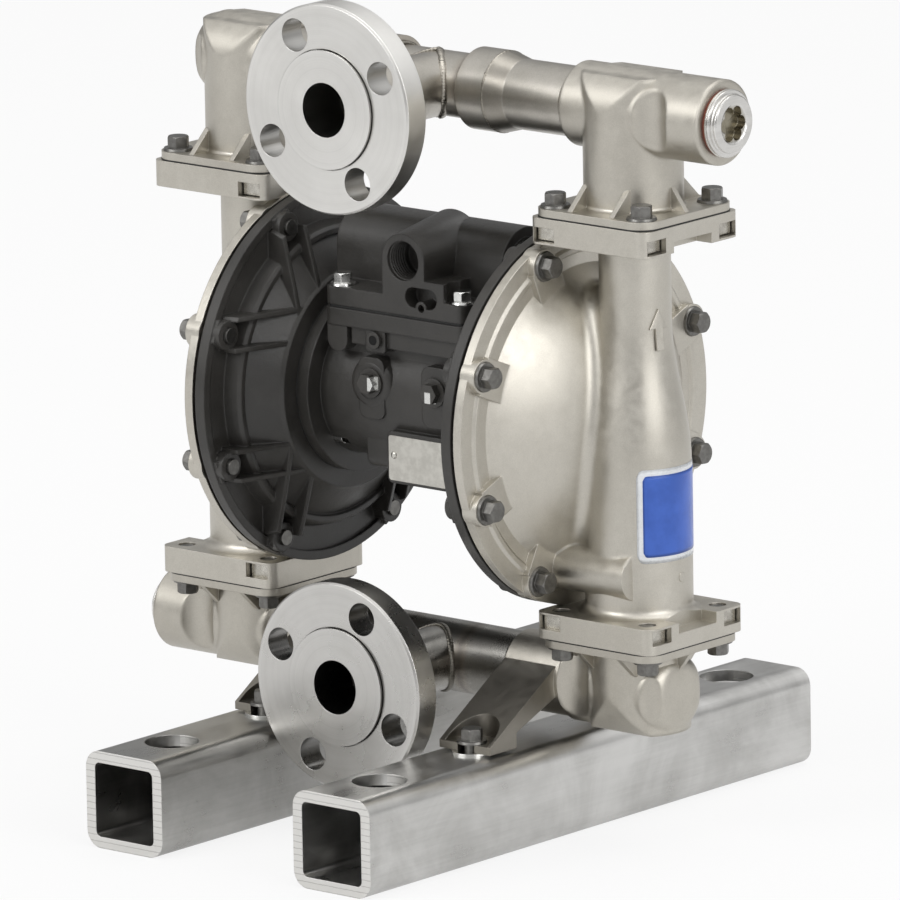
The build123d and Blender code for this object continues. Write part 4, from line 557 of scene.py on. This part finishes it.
# Painted light and shade: one rail finish in two copies, the left darker for the pump's shadow, the right
# lighter for the side lamp
RAIL_LEFT_PAINTED_SHADE = rail_metal("rail_mill_finish_painted_shade_left", (0.37, 0.365, 0.35), (0.54, 0.535, 0.52))
RAIL_RIGHT_PAINTED_LIGHT = rail_metal("rail_mill_finish_painted_light_right", (0.46, 0.455, 0.44), (0.68, 0.675, 0.66))
BLACK = coated_metal()
ZINC = plated_metal("bright_zinc", (0.66, 0.66, 0.64), (0.74, 0.74, 0.72), 0.15, 0.22)
NUT = plated_metal("captive_nut_steel", (0.42, 0.40, 0.36), (0.56, 0.54, 0.49), 0.24, 0.34)
BOLT = plated_metal("dark_bolt_steel", (0.150, 0.146, 0.138), (0.200, 0.196, 0.186), 0.30, 0.44, stains=420.0)
HOUSING_PLUG = masked_plug()
GROUND_SCREW = socket_screw()
PLUG = plug_metal()
RED_RUBBER = moulded("red_brown_seal", (0.15, 0.035, 0.02), (0.22, 0.055, 0.03), 0.42, 0.52)
BLACK_RUBBER = moulded("black_rubber", (0.012, 0.012, 0.012), (0.022, 0.022, 0.021), 0.5, 0.65)
BALL = moulded("ball_rubber", (0.02, 0.02, 0.02), (0.035, 0.034, 0.033), 0.45, 0.6)
SEAT = moulded("seat_plastic", (0.62, 0.60, 0.52), (0.74, 0.72, 0.64), 0.35, 0.5)
BEARING = moulded("bearing_plastic", (0.022, 0.022, 0.02), (0.04, 0.04, 0.037), 0.4, 0.55)
CERAMIC = moulded("ground_ceramic", (0.55, 0.53, 0.47), (0.66, 0.64, 0.58), 0.25, 0.4, coat=0.2)
ALUMINIUM = turned_surface("turned_aluminium", (0.56, 0.56, 0.55), (0.74, 0.74, 0.73), 0.24, 0.36,
                           PUMP_Z, axis="X").material
SHAFT = turned_surface("ground_shaft", (0.56, 0.55, 0.53), (0.74, 0.73, 0.71), 0.14, 0.24,
                       PUMP_Z, axis="X").material

dress(RAIL_LEFT_PAINTED_SHADE, "rail_left")
dress(RAIL_RIGHT_PAINTED_LIGHT, "rail_right")
dress(ZINC, "rail_rivet_nuts", "air_valve_bolts", "air_cover_screws", "air_valve_retaining_rings")
dress(HOUSING_PLUG, "housing_plugs")
dress(GROUND_SCREW, "ground_screw")
dress(BOLT, "foot_bolts", "outlet_manifold_bolts", "inlet_manifold_bolts", "cover_bolts_left",
      "cover_bolts_right")
dress(NUT, "outlet_manifold_nuts", "inlet_manifold_nuts")
dress(ELBOW_CAST, "outlet_elbow_left", "outlet_elbow_right")
dress(FOOT_CAST_PAINTED_SHADE, "inlet_elbow_left", "inlet_elbow_right")
dress(COVER_CAST, "fluid_cover_left", "fluid_cover_right")
dress(OUTLET_PIPE, "outlet_pipe")
dress(INLET_PIPE, "inlet_pipe")
dress(MACHINED_OUT, "outlet_stub_end", "outlet_flange")
dress(MACHINED_IN_PAINTED_SHADE, "inlet_stub_end", "inlet_flange")
dress(PLUG, "port_plugs")
dress(RED_RUBBER, "port_plug_orings", "inlet_seat_orings", "outlet_seat_orings")
dress(SEAT, "inlet_ball_seats", "outlet_ball_seats")
dress(BLACK_RUBBER, "diaphragm_left", "diaphragm_right", "air_cover_gaskets", "air_valve_gasket",
      "shaft_seals", "valve_spool_seals")
dress(BALL, "inlet_ball_left", "inlet_ball_right", "outlet_ball_left", "outlet_ball_right")
dress(BLACK, "air_cover_left", "air_cover_right", "center_housing", "air_valve_housing")
dress(BEARING, "shaft_bearings", "pilot_valve_bodies", "muffler", "air_valve_cup", "air_valve_end_caps")
dress(CERAMIC, "air_valve_plate")
dress(ALUMINIUM, "air_side_plates", "valve_spool")
dress(SHAFT, "diaphragm_shaft", "fluid_side_plates", "pilot_pin_left", "pilot_pin_right")


# Meshes from points
def mesh_object(name, points, faces, material, body, smooth=True):
    """A mesh piece from points in millimetres, riding on a body if one is named."""
    mesh = bpy.data.meshes.new(name)
    mesh.from_pydata([Vector(p) * MM for p in points], [], faces)
    tidy = bmesh.new()
    tidy.from_mesh(mesh)
    bmesh.ops.remove_doubles(tidy, verts=tidy.verts, dist=1e-7)
    bmesh.ops.recalc_face_normals(tidy, faces=tidy.faces)
    for face in tidy.faces:
        face.smooth = smooth
    tidy.to_mesh(mesh)
    tidy.free()
    mesh.materials.append(material)
    piece = bpy.data.objects.new(name, mesh)
    bpy.context.scene.collection.objects.link(piece)
    if body is not None:
        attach(piece, body)
    return piece


def band(low, high, count):
    """The faces between two closed rings of points that start at those numbers."""
    faces = []
    for i in range(count):
        j = (i + 1) % count
        faces.append((low + i, low + j, high + j, high + i))
    return faces


def bead(name, path, radius, material, seed, pitch=1.7):
    """A weld bead along a closed path: overlapping puddles, each slightly different."""
    sides = 10
    width = 1.25
    crown = 0.75
    rng = random.Random(seed)
    count = len(path)
    total = sum((Vector(path[i]) - Vector(path[i - 1])).length for i in range(count))
    waves = max(8, round(total / pitch))
    points = []
    faces = []
    middle = sum((Vector(p) for p in path), Vector()) / count
    for i in range(count):
        here = Vector(path[i])
        ahead = (Vector(path[(i + 1) % count]) - Vector(path[i - 1])).normalized()
        out = here - middle
        out = (out - ahead * out.dot(ahead)).normalized()
        across = ahead.cross(out)
        phase = (i / count * waves) % 1.0
        drift = 0.10 * math.sin(2 * math.pi * i / count * 7 + seed) + rng.uniform(-0.03, 0.03)
        swell = radius * (0.80 + 0.22 * (1.0 - phase) ** 0.6 + drift)
        for j in range(sides):
            angle = 2 * math.pi * j / sides
            lag = across * math.cos(angle) * swell * width + out * math.sin(angle) * swell * crown
            points.append(here + lag)
    for i in range(count):
        faces += band(i * sides, (i + 1) % count * sides, sides)
    return mesh_object(name, points, faces, material, "pump_frame")


RING_POINTS = 220
SADDLE_POINTS = 260


def ring_path(x, centre_z, radius):
    """A circle round the X axis of a pipe."""
    turns = [2 * math.pi * i / RING_POINTS for i in range(RING_POINTS)]
    return [(x, radius * math.cos(t), centre_z + radius * math.sin(t)) for t in turns]


def saddle_path(centre_z, run_radius):
    """Where a branch along -Y meets a pipe along X."""
    path = []
    for i in range(SADDLE_POINTS):
        t = 2 * math.pi * i / SADDLE_POINTS
        x = BRANCH_R * math.cos(t)
        z = BRANCH_R * math.sin(t)
        y = -math.sqrt(max(run_radius ** 2 - z ** 2, 0.0))
        path.append((x, y, centre_z + z))
    return path


def stub_path(centre_z):
    """The circle where a branch meets its stub end."""
    turns = [2 * math.pi * i / RING_POINTS for i in range(RING_POINTS)]
    return [(BRANCH_R * math.cos(t), STUB_WELD_Y, centre_z + BRANCH_R * math.sin(t)) for t in turns]


WELD_EDGE = 0.0003
WELD = cast_surface("weld_metal", (0.20, 0.185, 0.155), (0.42, 0.395, 0.35), 0.26, 0.38, WELD_EDGE).material
DARK_WELD = cast_surface("dark_weld_metal", (0.13, 0.12, 0.10), (0.27, 0.255, 0.225), 0.28, 0.40,
                         WELD_EDGE).material


def add_welds():
    """The weld beads of both cross pipes, their branches and stub ends."""
    bead("outlet_branch_weld", saddle_path(OUTLET_Z, OUTLET_TUBE_R), 1.9, WELD, seed=3)
    bead("inlet_branch_weld", saddle_path(INLET_Z, INLET_TUBE_R), 1.8, DARK_WELD, seed=4)
    bead("outlet_stub_weld", stub_path(OUTLET_Z), 1.2, WELD, seed=5)
    bead("inlet_stub_weld", stub_path(INLET_Z), 1.2, DARK_WELD, seed=6)
    for side in (-1, 1):
        tag = "right" if side > 0 else "left"
        sleeve_ring = ring_path(side * (SLEEVE_START - 1.2), OUTLET_Z, OUTLET_TUBE_R + 0.7)
        bead("outlet_sleeve_weld_" + tag, sleeve_ring, 1.7, WELD, seed=8 + side)
        cone_ring = ring_path(side * (SLEEVE_END + 0.3), OUTLET_Z, OUTLET_SLEEVE_R - 0.5)
        bead("outlet_cone_weld_" + tag, cone_ring, 0.8, WELD, seed=20 + side, pitch=2.6)
        elbow_ring = ring_path(side * (OUTLET_ELBOW_X - 0.3), OUTLET_Z, OUTLET_SHOULDER_R + 0.3)
        bead("outlet_elbow_weld_" + tag, elbow_ring, 0.9, WELD, seed=12 + side)
        foot_ring = ring_path(side * (INLET_PIPE_END - 0.3), INLET_Z, INLET_TUBE_R + 0.5)
        bead("inlet_elbow_weld_" + tag, foot_ring, 1.2, DARK_WELD, seed=16 + side)


# Pieces on the columns
def column_radius(z):
    """The radius of a column at a height: wide at the foot, tapering to the head."""
    if z <= TAPER_START:
        return COLUMN_FOOT_R
    if z >= TAPER_END:
        return COLUMN_HEAD_R
    share = (z - TAPER_START) / (TAPER_END - TAPER_START)
    return COLUMN_FOOT_R + share * (COLUMN_HEAD_R - COLUMN_FOOT_R)


def on_column(side, arc, z, lift):
    """A point on a column: arc is the length round it from its outermost line."""
    radius = column_radius(z)
    angle = arc / radius
    reach = radius + lift
    x = side * (COLUMN_X + reach * math.cos(angle))
    y = side * reach * math.sin(angle)
    return (x, y, z)


def rounded_outline(half_width, half_height, corner):
    """A rectangle with round corners as points, anticlockwise."""
    steps = 8
    points = []
    for k, (sx, sz) in enumerate([(1, 1), (-1, 1), (-1, -1), (1, -1)]):
        for i in range(steps + 1):
            t = math.pi / 2 * (k + i / steps)
            x = sx * (half_width - corner) + corner * math.cos(t)
            z = sz * (half_height - corner) + corner * math.sin(t)
            points.append((x, z))
    return points


def sheet_on_column(name, side, half_width, half_height, corner, lift, material):
    """A thin field with round corners that wraps a column."""
    columns = 36
    rows = 24
    thickness = 0.12
    points = []
    faces = []
    for layer in (lift, lift - thickness):
        for i in range(columns + 1):
            u = -half_width + 2 * half_width * i / columns
            inset = max(0.0, abs(u) - (half_width - corner))
            reach = half_height - corner + math.sqrt(max(corner ** 2 - inset ** 2, 0.0))
            for j in range(rows + 1):
                z = LABEL_Z - reach + 2 * reach * j / rows
                points.append(on_column(side, u, z, layer))
    stride = rows + 1
    size = (columns + 1) * stride
    for i in range(columns):
        for j in range(rows):
            a = i * stride + j
            faces.append((a, a + stride, a + stride + 1, a + 1))
            faces.append((size + a, size + a + 1, size + a + stride + 1, size + a + stride))
    for i in range(columns):
        for j in (0, rows):
            a = i * stride + j
            faces.append((a, size + a, size + a + stride, a + stride))
    for j in range(rows):
        for i in (0, columns):
            a = i * stride + j
            faces.append((a, a + 1, size + a + 1, size + a))
    return mesh_object(name, points, faces, material, "pump_frame")


def raised_on_column(name, side, outline, height, turn=0.0):
    """A flat raised mark that follows a column, from an outline as (arc, z)."""
    sunk = -0.4
    chamfer = 0.25
    shrink = 0.96
    points = []
    for lift in (sunk, height - chamfer):
        points += [on_column(side, u + turn * column_radius(z), z, lift) for u, z in outline]
    mid_u = sum(u for u, z in outline) / len(outline)
    mid_z = sum(z for u, z in outline) / len(outline)
    for u, z in outline:
        su = mid_u + (u - mid_u) * shrink
        sz = mid_z + (z - mid_z) * shrink
        points.append(on_column(side, su + turn * column_radius(sz), sz, height))
    count = len(outline)
    faces = []
    for layer in range(2):
        faces += band(layer * count, (layer + 1) * count, count)
    faces.append(tuple(range(2 * count, 3 * count)))
    return mesh_object(name, points, faces, CAST, "pump_frame", smooth=False)


def arrow_outline(shaft, head, head_height, barb=0.6):
    """An arrow that points up, from the half widths of its shaft and head."""
    neck = ARROW_TIP_Z - head_height
    return [
        (-shaft, ARROW_FOOT_Z),
        (shaft, ARROW_FOOT_Z),
        (shaft, neck),
        (head, neck - barb),
        (0.0, ARROW_TIP_Z),
        (-head, neck - barb),
        (-shaft, neck),
    ]


def disc_on_column(name, side, arc, z, radius, height):
    """A low round cast mark."""
    count = 28
    outline = []
    for i in range(count):
        t = 2 * math.pi * i / count
        outline.append((arc + radius * math.cos(t), z + radius * math.sin(t)))
    return raised_on_column(name, side, outline, height)


BLUE_FIELD = moulded("blue_label_film", (0.018, 0.085, 0.42), (0.03, 0.11, 0.50),
                     0.28, 0.36, grain=400.0, height=0.00001, coat=0.25)
SILVER_FIELD = moulded("silver_label_film", (0.66, 0.68, 0.70), (0.74, 0.76, 0.78),
                       0.24, 0.34, grain=500.0, height=0.00001, coat=0.2)

# Name, half width, half height, corner radius, lift and film of each sheet of a label
LABEL_SHEETS = (
    ("label_border_", 25.0, 24.2, 4.0, 0.24, SILVER_FIELD),
    ("label_field_", 21.8, 21.0, 2.4, 0.38, BLUE_FIELD),
)


def add_column_marks():
    """The label, the flow arrow and two cast marks on each column."""
    for side in (-1, 1):
        tag = "right" if side > 0 else "left"
        for name, half_width, half_height, corner, lift, film in LABEL_SHEETS:
            sheet_on_column(name + tag, side, half_width, half_height, corner, lift, film)
        arrow = arrow_outline(shaft=2.2, head=5.2, head_height=9.5)
        raised_on_column("flow_arrow_" + tag, side, arrow, height=1.15, turn=-0.23)
        disc_on_column("cast_mark_upper_" + tag, side, arc=-2.0, z=203.5, radius=1.9, height=0.35)
        disc_on_column("cast_mark_lower_" + tag, side, arc=1.0, z=141.0, radius=2.6, height=0.3)


# Small pieces on the housing and the joints
PLATE_METAL = plated_metal("nameplate_metal", (0.50, 0.485, 0.445), (0.60, 0.585, 0.54),
                           0.32, 0.42, edge=0.0001)


def add_nameplate():
    """A bare metal plate held by two rivets on the front of the centre housing."""
    outline = rounded_outline(half_width=26.0, half_height=11.7, corner=1.6)
    rivet_x = 22.4
    points = []
    for y, shrink in ((-39.5, 1.0), (-40.0, 1.0), (-40.12, 0.995)):
        points += [(NAMEPLATE_X + u * shrink, y, NAMEPLATE_Z + v * shrink) for u, v in outline]
    count = len(outline)
    faces = []
    for layer in range(2):
        faces += band(layer * count, (layer + 1) * count, count)
    faces.append(tuple(range(2 * count, 3 * count)))
    faces.append(tuple(range(count)))
    mesh_object("nameplate", points, faces, PLATE_METAL, "pump_frame", smooth=False)
    for k, x in enumerate((NAMEPLATE_X - rivet_x, NAMEPLATE_X + rivet_x)):
        dome("nameplate_rivet_%d" % k, (x, -40.1, NAMEPLATE_Z + 1.5), radius=1.9, height=1.0)


def dome(name, centre, radius, height):
    """A low round rivet head that faces -Y."""
    rows = 6
    count = 24
    points = [(centre[0], centre[1] - height, centre[2])]
    faces = []
    for i in range(1, rows + 1):
        t = math.pi / 2 * i / rows
        for j in range(count):
            a = 2 * math.pi * j / count
            r = radius * math.sin(t)
            depth = centre[1] - height * math.cos(t)
            points.append((centre[0] + r * math.cos(a), depth, centre[2] + r * math.sin(a)))
    for j in range(count):
        faces.append((0, 1 + j, 1 + (j + 1) % count))
    for i in range(rows - 1):
        for j in range(count):
            a = 1 + i * count + j
            b = 1 + i * count + (j + 1) % count
            faces.append((a, a + count, b + count, b))
    return mesh_object(name, points, faces, PLATE_METAL, "pump_frame")


def add_inlet_thread():
    """The pipe thread in the air inlet, as a spiral ridge in the bore."""
    first_y = -39.0
    pitch = 1.8
    turns = 7
    steps = 48
    root = 10.35
    crest = 9.45
    section = ((root, -0.31), (crest, -0.06), (crest, 0.06), (root, 0.31))
    size = len(section)
    points = []
    faces = []
    for i in range(turns * steps + 1):
        a = 2 * math.pi * i / steps
        y = first_y + pitch * i / steps
        for reach, share in section:
            shift = share * pitch
            points.append((AIR_INLET_X + reach * math.cos(a), y + shift, AIR_INLET_Z + reach * math.sin(a)))
    for i in range(turns * steps):
        for j in range(size - 1):
            a = i * size + j
            faces.append((a, a + 1, a + 1 + size, a + size))
    return mesh_object("air_inlet_thread", points, faces, BLACK, "pump_frame")


def add_joint_seams():
    """A black gasket strip between each elbow plate and the cover flange that it is bolted to, also standing
    in as painted shadow in the gap.
    """
    heights = (
        ("outlet", UPPER_JOINT_Z, UPPER_JOINT_Z + SEAM_HEIGHT),
        ("inlet", LOWER_JOINT_Z - SEAM_HEIGHT, LOWER_JOINT_Z),
    )
    for side in (-1, 1):
        for place, low, high in heights:
            section = ((SEAM_INNER, low), (SEAM_OUTER, low), (SEAM_OUTER, high), (SEAM_INNER, high))
            size = len(section)
            points = []
            for half, z in section:
                outline = rounded_outline(half, half, JOINT_CORNER_R)
                points += [(side * COLUMN_X + u, v, z) for u, v in outline]
            count = len(points) // size
            faces = []
            for layer in range(size):
                faces += band(layer * count, (layer + 1) % size * count, count)
            tag = "right" if side > 0 else "left"
            # Painted shadow: the strip is partly the gasket and partly the dark gap between the flanges
            mesh_object("joint_seam_%s_%s" % (place, tag), points, faces, BLACK_RUBBER, "pump_frame",
                        smooth=False)


def add_plug_boss():
    """The round cast boss behind the left housing plug, with a soft front edge."""
    front = 38.9
    edge = 4.2
    face_radius = 9.8
    steps = 8
    centre = (LEFT_PLUG_X - 1.0, LEFT_PLUG_Z - 1.2)
    profile = [(14.6, 30.0), (14.2, 34.2)]
    for i in range(steps + 1):
        t = math.pi / 2 * i / steps
        profile.append((face_radius + edge * math.cos(t), front - edge + edge * math.sin(t)))
    profile.append((7.7, front))
    count = 56
    points = []
    faces = []
    for radius, depth in profile:
        for j in range(count):
            a = 2 * math.pi * j / count
            points.append((centre[0] + radius * math.cos(a), -depth, centre[1] + radius * math.sin(a)))
    for i in range(len(profile) - 1):
        faces += band(i * count, (i + 1) * count, count)
    return mesh_object("plug_boss_left", points, faces, BLACK, "pump_frame")


def socket_radius(turn):
    """The outline of the six lobed socket: broad round lobes between narrow noses."""
    nose = 7.0
    lobe = 2.5
    fullness = 0.36
    return nose + lobe * (math.cos(3.0 * turn) ** 2) ** fullness


def add_port_plugs():
    """Both turned plugs: a stepped flange, a nose with a chamfer and a deep six lobed socket."""
    socket_floor = 1.6
    drill_tip = 1.2
    # Distance from the seat and radius of each turned ring
    rings = [(1.2, 16.8), (1.6, 17.3), (2.5, 17.3), (2.7, 16.7), (3.1, 16.7), (3.3, 17.2)]
    rings += [(4.0, 17.2), (4.4, 16.8), (4.4, 15.3), (4.8, 14.8), (6.5, 14.8), (7.0, 14.3)]
    count = 144
    points = []
    faces = []
    for side, height in ((1, OUTLET_Z), (-1, INLET_Z)):
        start = len(points)
        layers = [(out, radius, 0.0) for out, radius in rings]
        layers += [(7.0, 10.4, 0.0), (6.5, 9.8, 0.25), (6.3, 0.0, 1.0), (socket_floor, 0.0, 1.0)]
        for out, radius, share in layers:
            for j in range(count):
                a = 2 * math.pi * j / count
                reach = radius * (1.0 - share) + socket_radius(a) * share
                x = side * (PLUG_SEAT_X + out)
                points.append((x, reach * math.cos(a), height + reach * math.sin(a)))
        points.append((side * (PLUG_SEAT_X + drill_tip), 0.0, height))
        for i in range(len(layers) - 1):
            faces += band(start + i * count, start + (i + 1) * count, count)
        last = start + (len(layers) - 1) * count
        for j in range(count):
            faces.append((last + j, last + (j + 1) % count, len(points) - 1))
    plugs = mesh_object("turned_port_plugs", points, faces, PLUG, "pump_frame",
                        smooth=False)
    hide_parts("port_plugs")


# Diaphragms
def diaphragm_profile():
    """The half section of a diaphragm as (x, radius): clamped rim, rolled convolution, flat middle."""
    outline = [(DIAPHRAGM_AIR_X, STUD_R)]
    steps = 12
    for i in range(steps + 1):
        t = math.pi * i / steps
        across = CONVOLUTION_CIRCLE - CONVOLUTION_R * math.cos(t)
        outline.append((DIAPHRAGM_AIR_X + CONVOLUTION_R * math.sin(t), across))
    outline.append((DIAPHRAGM_AIR_X, DIAPHRAGM_RIM_R))
    outline.append((DIAPHRAGM_FLUID_X, DIAPHRAGM_RIM_R))
    half = CONVOLUTION_R + DIAPHRAGM_FLUID_X - DIAPHRAGM_AIR_X
    arc = (half ** 2 + CONVOLUTION_R ** 2) / (2 * CONVOLUTION_R)
    sweep = math.asin(half / arc)
    for i in range(steps + 1):
        t = sweep * (1.0 - 2.0 * i / steps)
        x = DIAPHRAGM_FLUID_X + CONVOLUTION_R - arc + arc * math.cos(t)
        outline.append((x, CONVOLUTION_CIRCLE + arc * math.sin(t)))
    outline.append((DIAPHRAGM_FLUID_X, STUD_R))
    return outline


def add_diaphragms():
    """Diaphragms in fixed wedges, each running from the clamped rim to the plates that go with the shaft."""
    outline = diaphragm_profile()
    count = len(outline)
    steps = 5
    for side in (-1, 1):
        tag = "right" if side > 0 else "left"
        for wedge in range(WEDGES):
            first = 2 * math.pi * wedge / WEDGES
            points = []
            faces = []
            for k in range(steps + 1):
                a = first + 2 * math.pi / WEDGES * k / steps
                points += [(side * x, r * math.cos(a), PUMP_Z + r * math.sin(a)) for x, r in outline]
            for k in range(steps):
                faces += band(k * count, (k + 1) * count, count)
            faces.append(tuple(range(count)))
            faces.append(tuple(range(steps * count, (steps + 1) * count)))
            name = "diaphragm_%s_wedge_%02d" % (tag, wedge)
            piece = mesh_object(name, points, faces, BLACK_RUBBER, None, smooth=False)
            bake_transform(piece)
            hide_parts("diaphragm_" + tag)


# Studio
WHITE = (1.0, 1.0, 1.0)
FLOOR_GREY = 0.86
FLOOR_SEEN = 0.84
FLOOR_MIRRORED = 0.45
ROOM_LEVEL = 0.5
ROOM_LOWEST = 0.9
# Height in the room, nought at the bottom and one at the top, and the grey there
ROOM_GREYS = ((0.5, 0.55), (0.58, 0.42), (0.72, 0.75), (0.85, 1.0))
ROOM_TOWARD = (0.78, -0.62, 0.0)
LAMP_AIM = (0.0, 0.0, 0.2)
# Name, place, width, height and power of each lamp
LAMPS = (
    ("key_box", (-1.6, -4.2, 3.0), 3.0, 2.4, 90.0),
    ("side_box", (4.6, -0.6, 2.2), 3.6, 3.2, 84.0),
    ("top_box", (0.2, 0.8, 4.2), 3.2, 3.2, 60.0),
)


def mirror_ray(tree, ray):
    """One for rays that are mirrored or pass through, else nought."""
    return math_node(tree, "MAXIMUM", ray.outputs["Is Glossy Ray"], ray.outputs["Is Transmission Ray"])


def glow(tree, kind, colour, strength):
    """A shader that gives light: an emission or a background."""
    node = tree.nodes.new(kind)
    feed(tree, node.inputs["Color"], colour)
    node.inputs["Strength"].default_value = strength
    return node.outputs[0]


def shader_mix(tree, share, first, second):
    """One shader where share is nought, the other where it is one."""
    node = tree.nodes.new("ShaderNodeMixShader")
    tree.links.new(share, node.inputs["Fac"])
    tree.links.new(first, node.inputs[1])
    tree.links.new(second, node.inputs[2])
    return node.outputs["Shader"]


def add_floor():
    """A wide pale floor that looks white to the camera and grey in the metal."""
    mesh = bpy.data.meshes.new("studio_floor")
    reach = 14.0
    corners = [(-reach, -reach, 0), (reach, -reach, 0), (reach, reach, 0), (-reach, reach, 0)]
    mesh.from_pydata(corners, [], [(0, 1, 2, 3)])
    floor = bpy.data.objects.new("studio_floor", mesh)
    bpy.context.scene.collection.objects.link(floor)
    material = bpy.data.materials.new("pale_floor")
    material.use_nodes = True
    tree = material.node_tree
    tree.nodes.clear()
    out = tree.nodes.new("ShaderNodeOutputMaterial")
    matte = tree.nodes.new("ShaderNodeBsdfDiffuse")
    matte.inputs["Color"].default_value = (FLOOR_GREY, FLOOR_GREY, FLOOR_GREY, 1.0)
    ray = tree.nodes.new("ShaderNodeLightPath")
    seen = math_node(tree, "MULTIPLY", ray.outputs["Is Camera Ray"], FLOOR_SEEN)
    mirrored = math_node(tree, "MULTIPLY", mirror_ray(tree, ray), FLOOR_MIRRORED)
    white = glow(tree, "ShaderNodeEmission", WHITE, 1.0)
    blend = shader_mix(tree, math_node(tree, "MAXIMUM", seen, mirrored), matte.outputs["BSDF"], white)
    tree.links.new(blend, out.inputs["Surface"])
    mesh.materials.append(material)


def add_world():
    """A soft room: an even level for matte surfaces, a pale graded one for gloss, white for the camera."""
    world = bpy.data.worlds.new("studio")
    bpy.context.scene.world = world
    world.use_nodes = True
    tree = world.node_tree
    tree.nodes.clear()
    out = tree.nodes.new("ShaderNodeOutputWorld")
    coords = tree.nodes.new("ShaderNodeTexCoord")
    apart = tree.nodes.new("ShaderNodeSeparateXYZ")
    tree.links.new(coords.outputs["Generated"], apart.inputs["Vector"])
    ramp = tree.nodes.new("ShaderNodeValToRGB")
    lift = tree.nodes.new("ShaderNodeMapRange")
    lift.inputs["From Min"].default_value = -1.0
    lift.inputs["From Max"].default_value = 1.0
    tree.links.new(apart.outputs["Z"], lift.inputs["Value"])
    tree.links.new(lift.outputs["Result"], ramp.inputs["Fac"])
    stops = ramp.color_ramp
    stops.elements[0].position = 0.0
    stops.elements[0].color = (ROOM_LOWEST, ROOM_LOWEST, ROOM_LOWEST, 1.0)
    stops.elements[1].position = 1.0
    stops.elements[1].color = (*WHITE, 1.0)
    for place, grey in ROOM_GREYS:
        stop = stops.elements.new(place)
        stop.color = (grey, grey, grey, 1.0)
    toward = tree.nodes.new("ShaderNodeVectorMath")
    toward.operation = "DOT_PRODUCT"
    tree.links.new(coords.outputs["Generated"], toward.inputs[0])
    toward.inputs[1].default_value = ROOM_TOWARD
    shade = range_node(tree, toward.outputs["Value"], -1.0, 0.1, 0.62, 1.14)
    dip = range_node(tree, toward.outputs["Value"], 0.65, 1.0, 1.0, 0.72)
    graded = tree.nodes.new("ShaderNodeVectorMath")
    graded.operation = "SCALE"
    tree.links.new(ramp.outputs["Color"], graded.inputs[0])
    tree.links.new(math_node(tree, "MULTIPLY", shade, dip), graded.inputs["Scale"])
    gloss = glow(tree, "ShaderNodeBackground", graded.outputs["Vector"], 1.0)
    even = glow(tree, "ShaderNodeBackground", WHITE, ROOM_LEVEL)
    white = glow(tree, "ShaderNodeBackground", WHITE, 1.0)
    ray = tree.nodes.new("ShaderNodeLightPath")
    lit = shader_mix(tree, mirror_ray(tree, ray), even, gloss)
    room = shader_mix(tree, ray.outputs["Is Camera Ray"], lit, white)
    tree.links.new(room, out.inputs["Surface"])


def add_lamp(name, place, width, height, power):
    """A soft box that faces the part."""
    data = bpy.data.lights.new(name, "AREA")
    data.shape = "RECTANGLE"
    data.size = width
    data.size_y = height
    data.energy = power
    lamp = bpy.data.objects.new(name, data)
    bpy.context.scene.collection.objects.link(lamp)
    lamp.location = place
    lamp.rotation_euler = (Vector(LAMP_AIM) - Vector(place)).to_track_quat("-Z", "Y").to_euler()


add_camera()
add_welds()
add_column_marks()
add_nameplate()
add_inlet_thread()
add_joint_seams()
add_plug_boss()
add_port_plugs()
add_diaphragms()
add_floor()
add_world()
for lamp_values in LAMPS:
    add_lamp(*lamp_values)
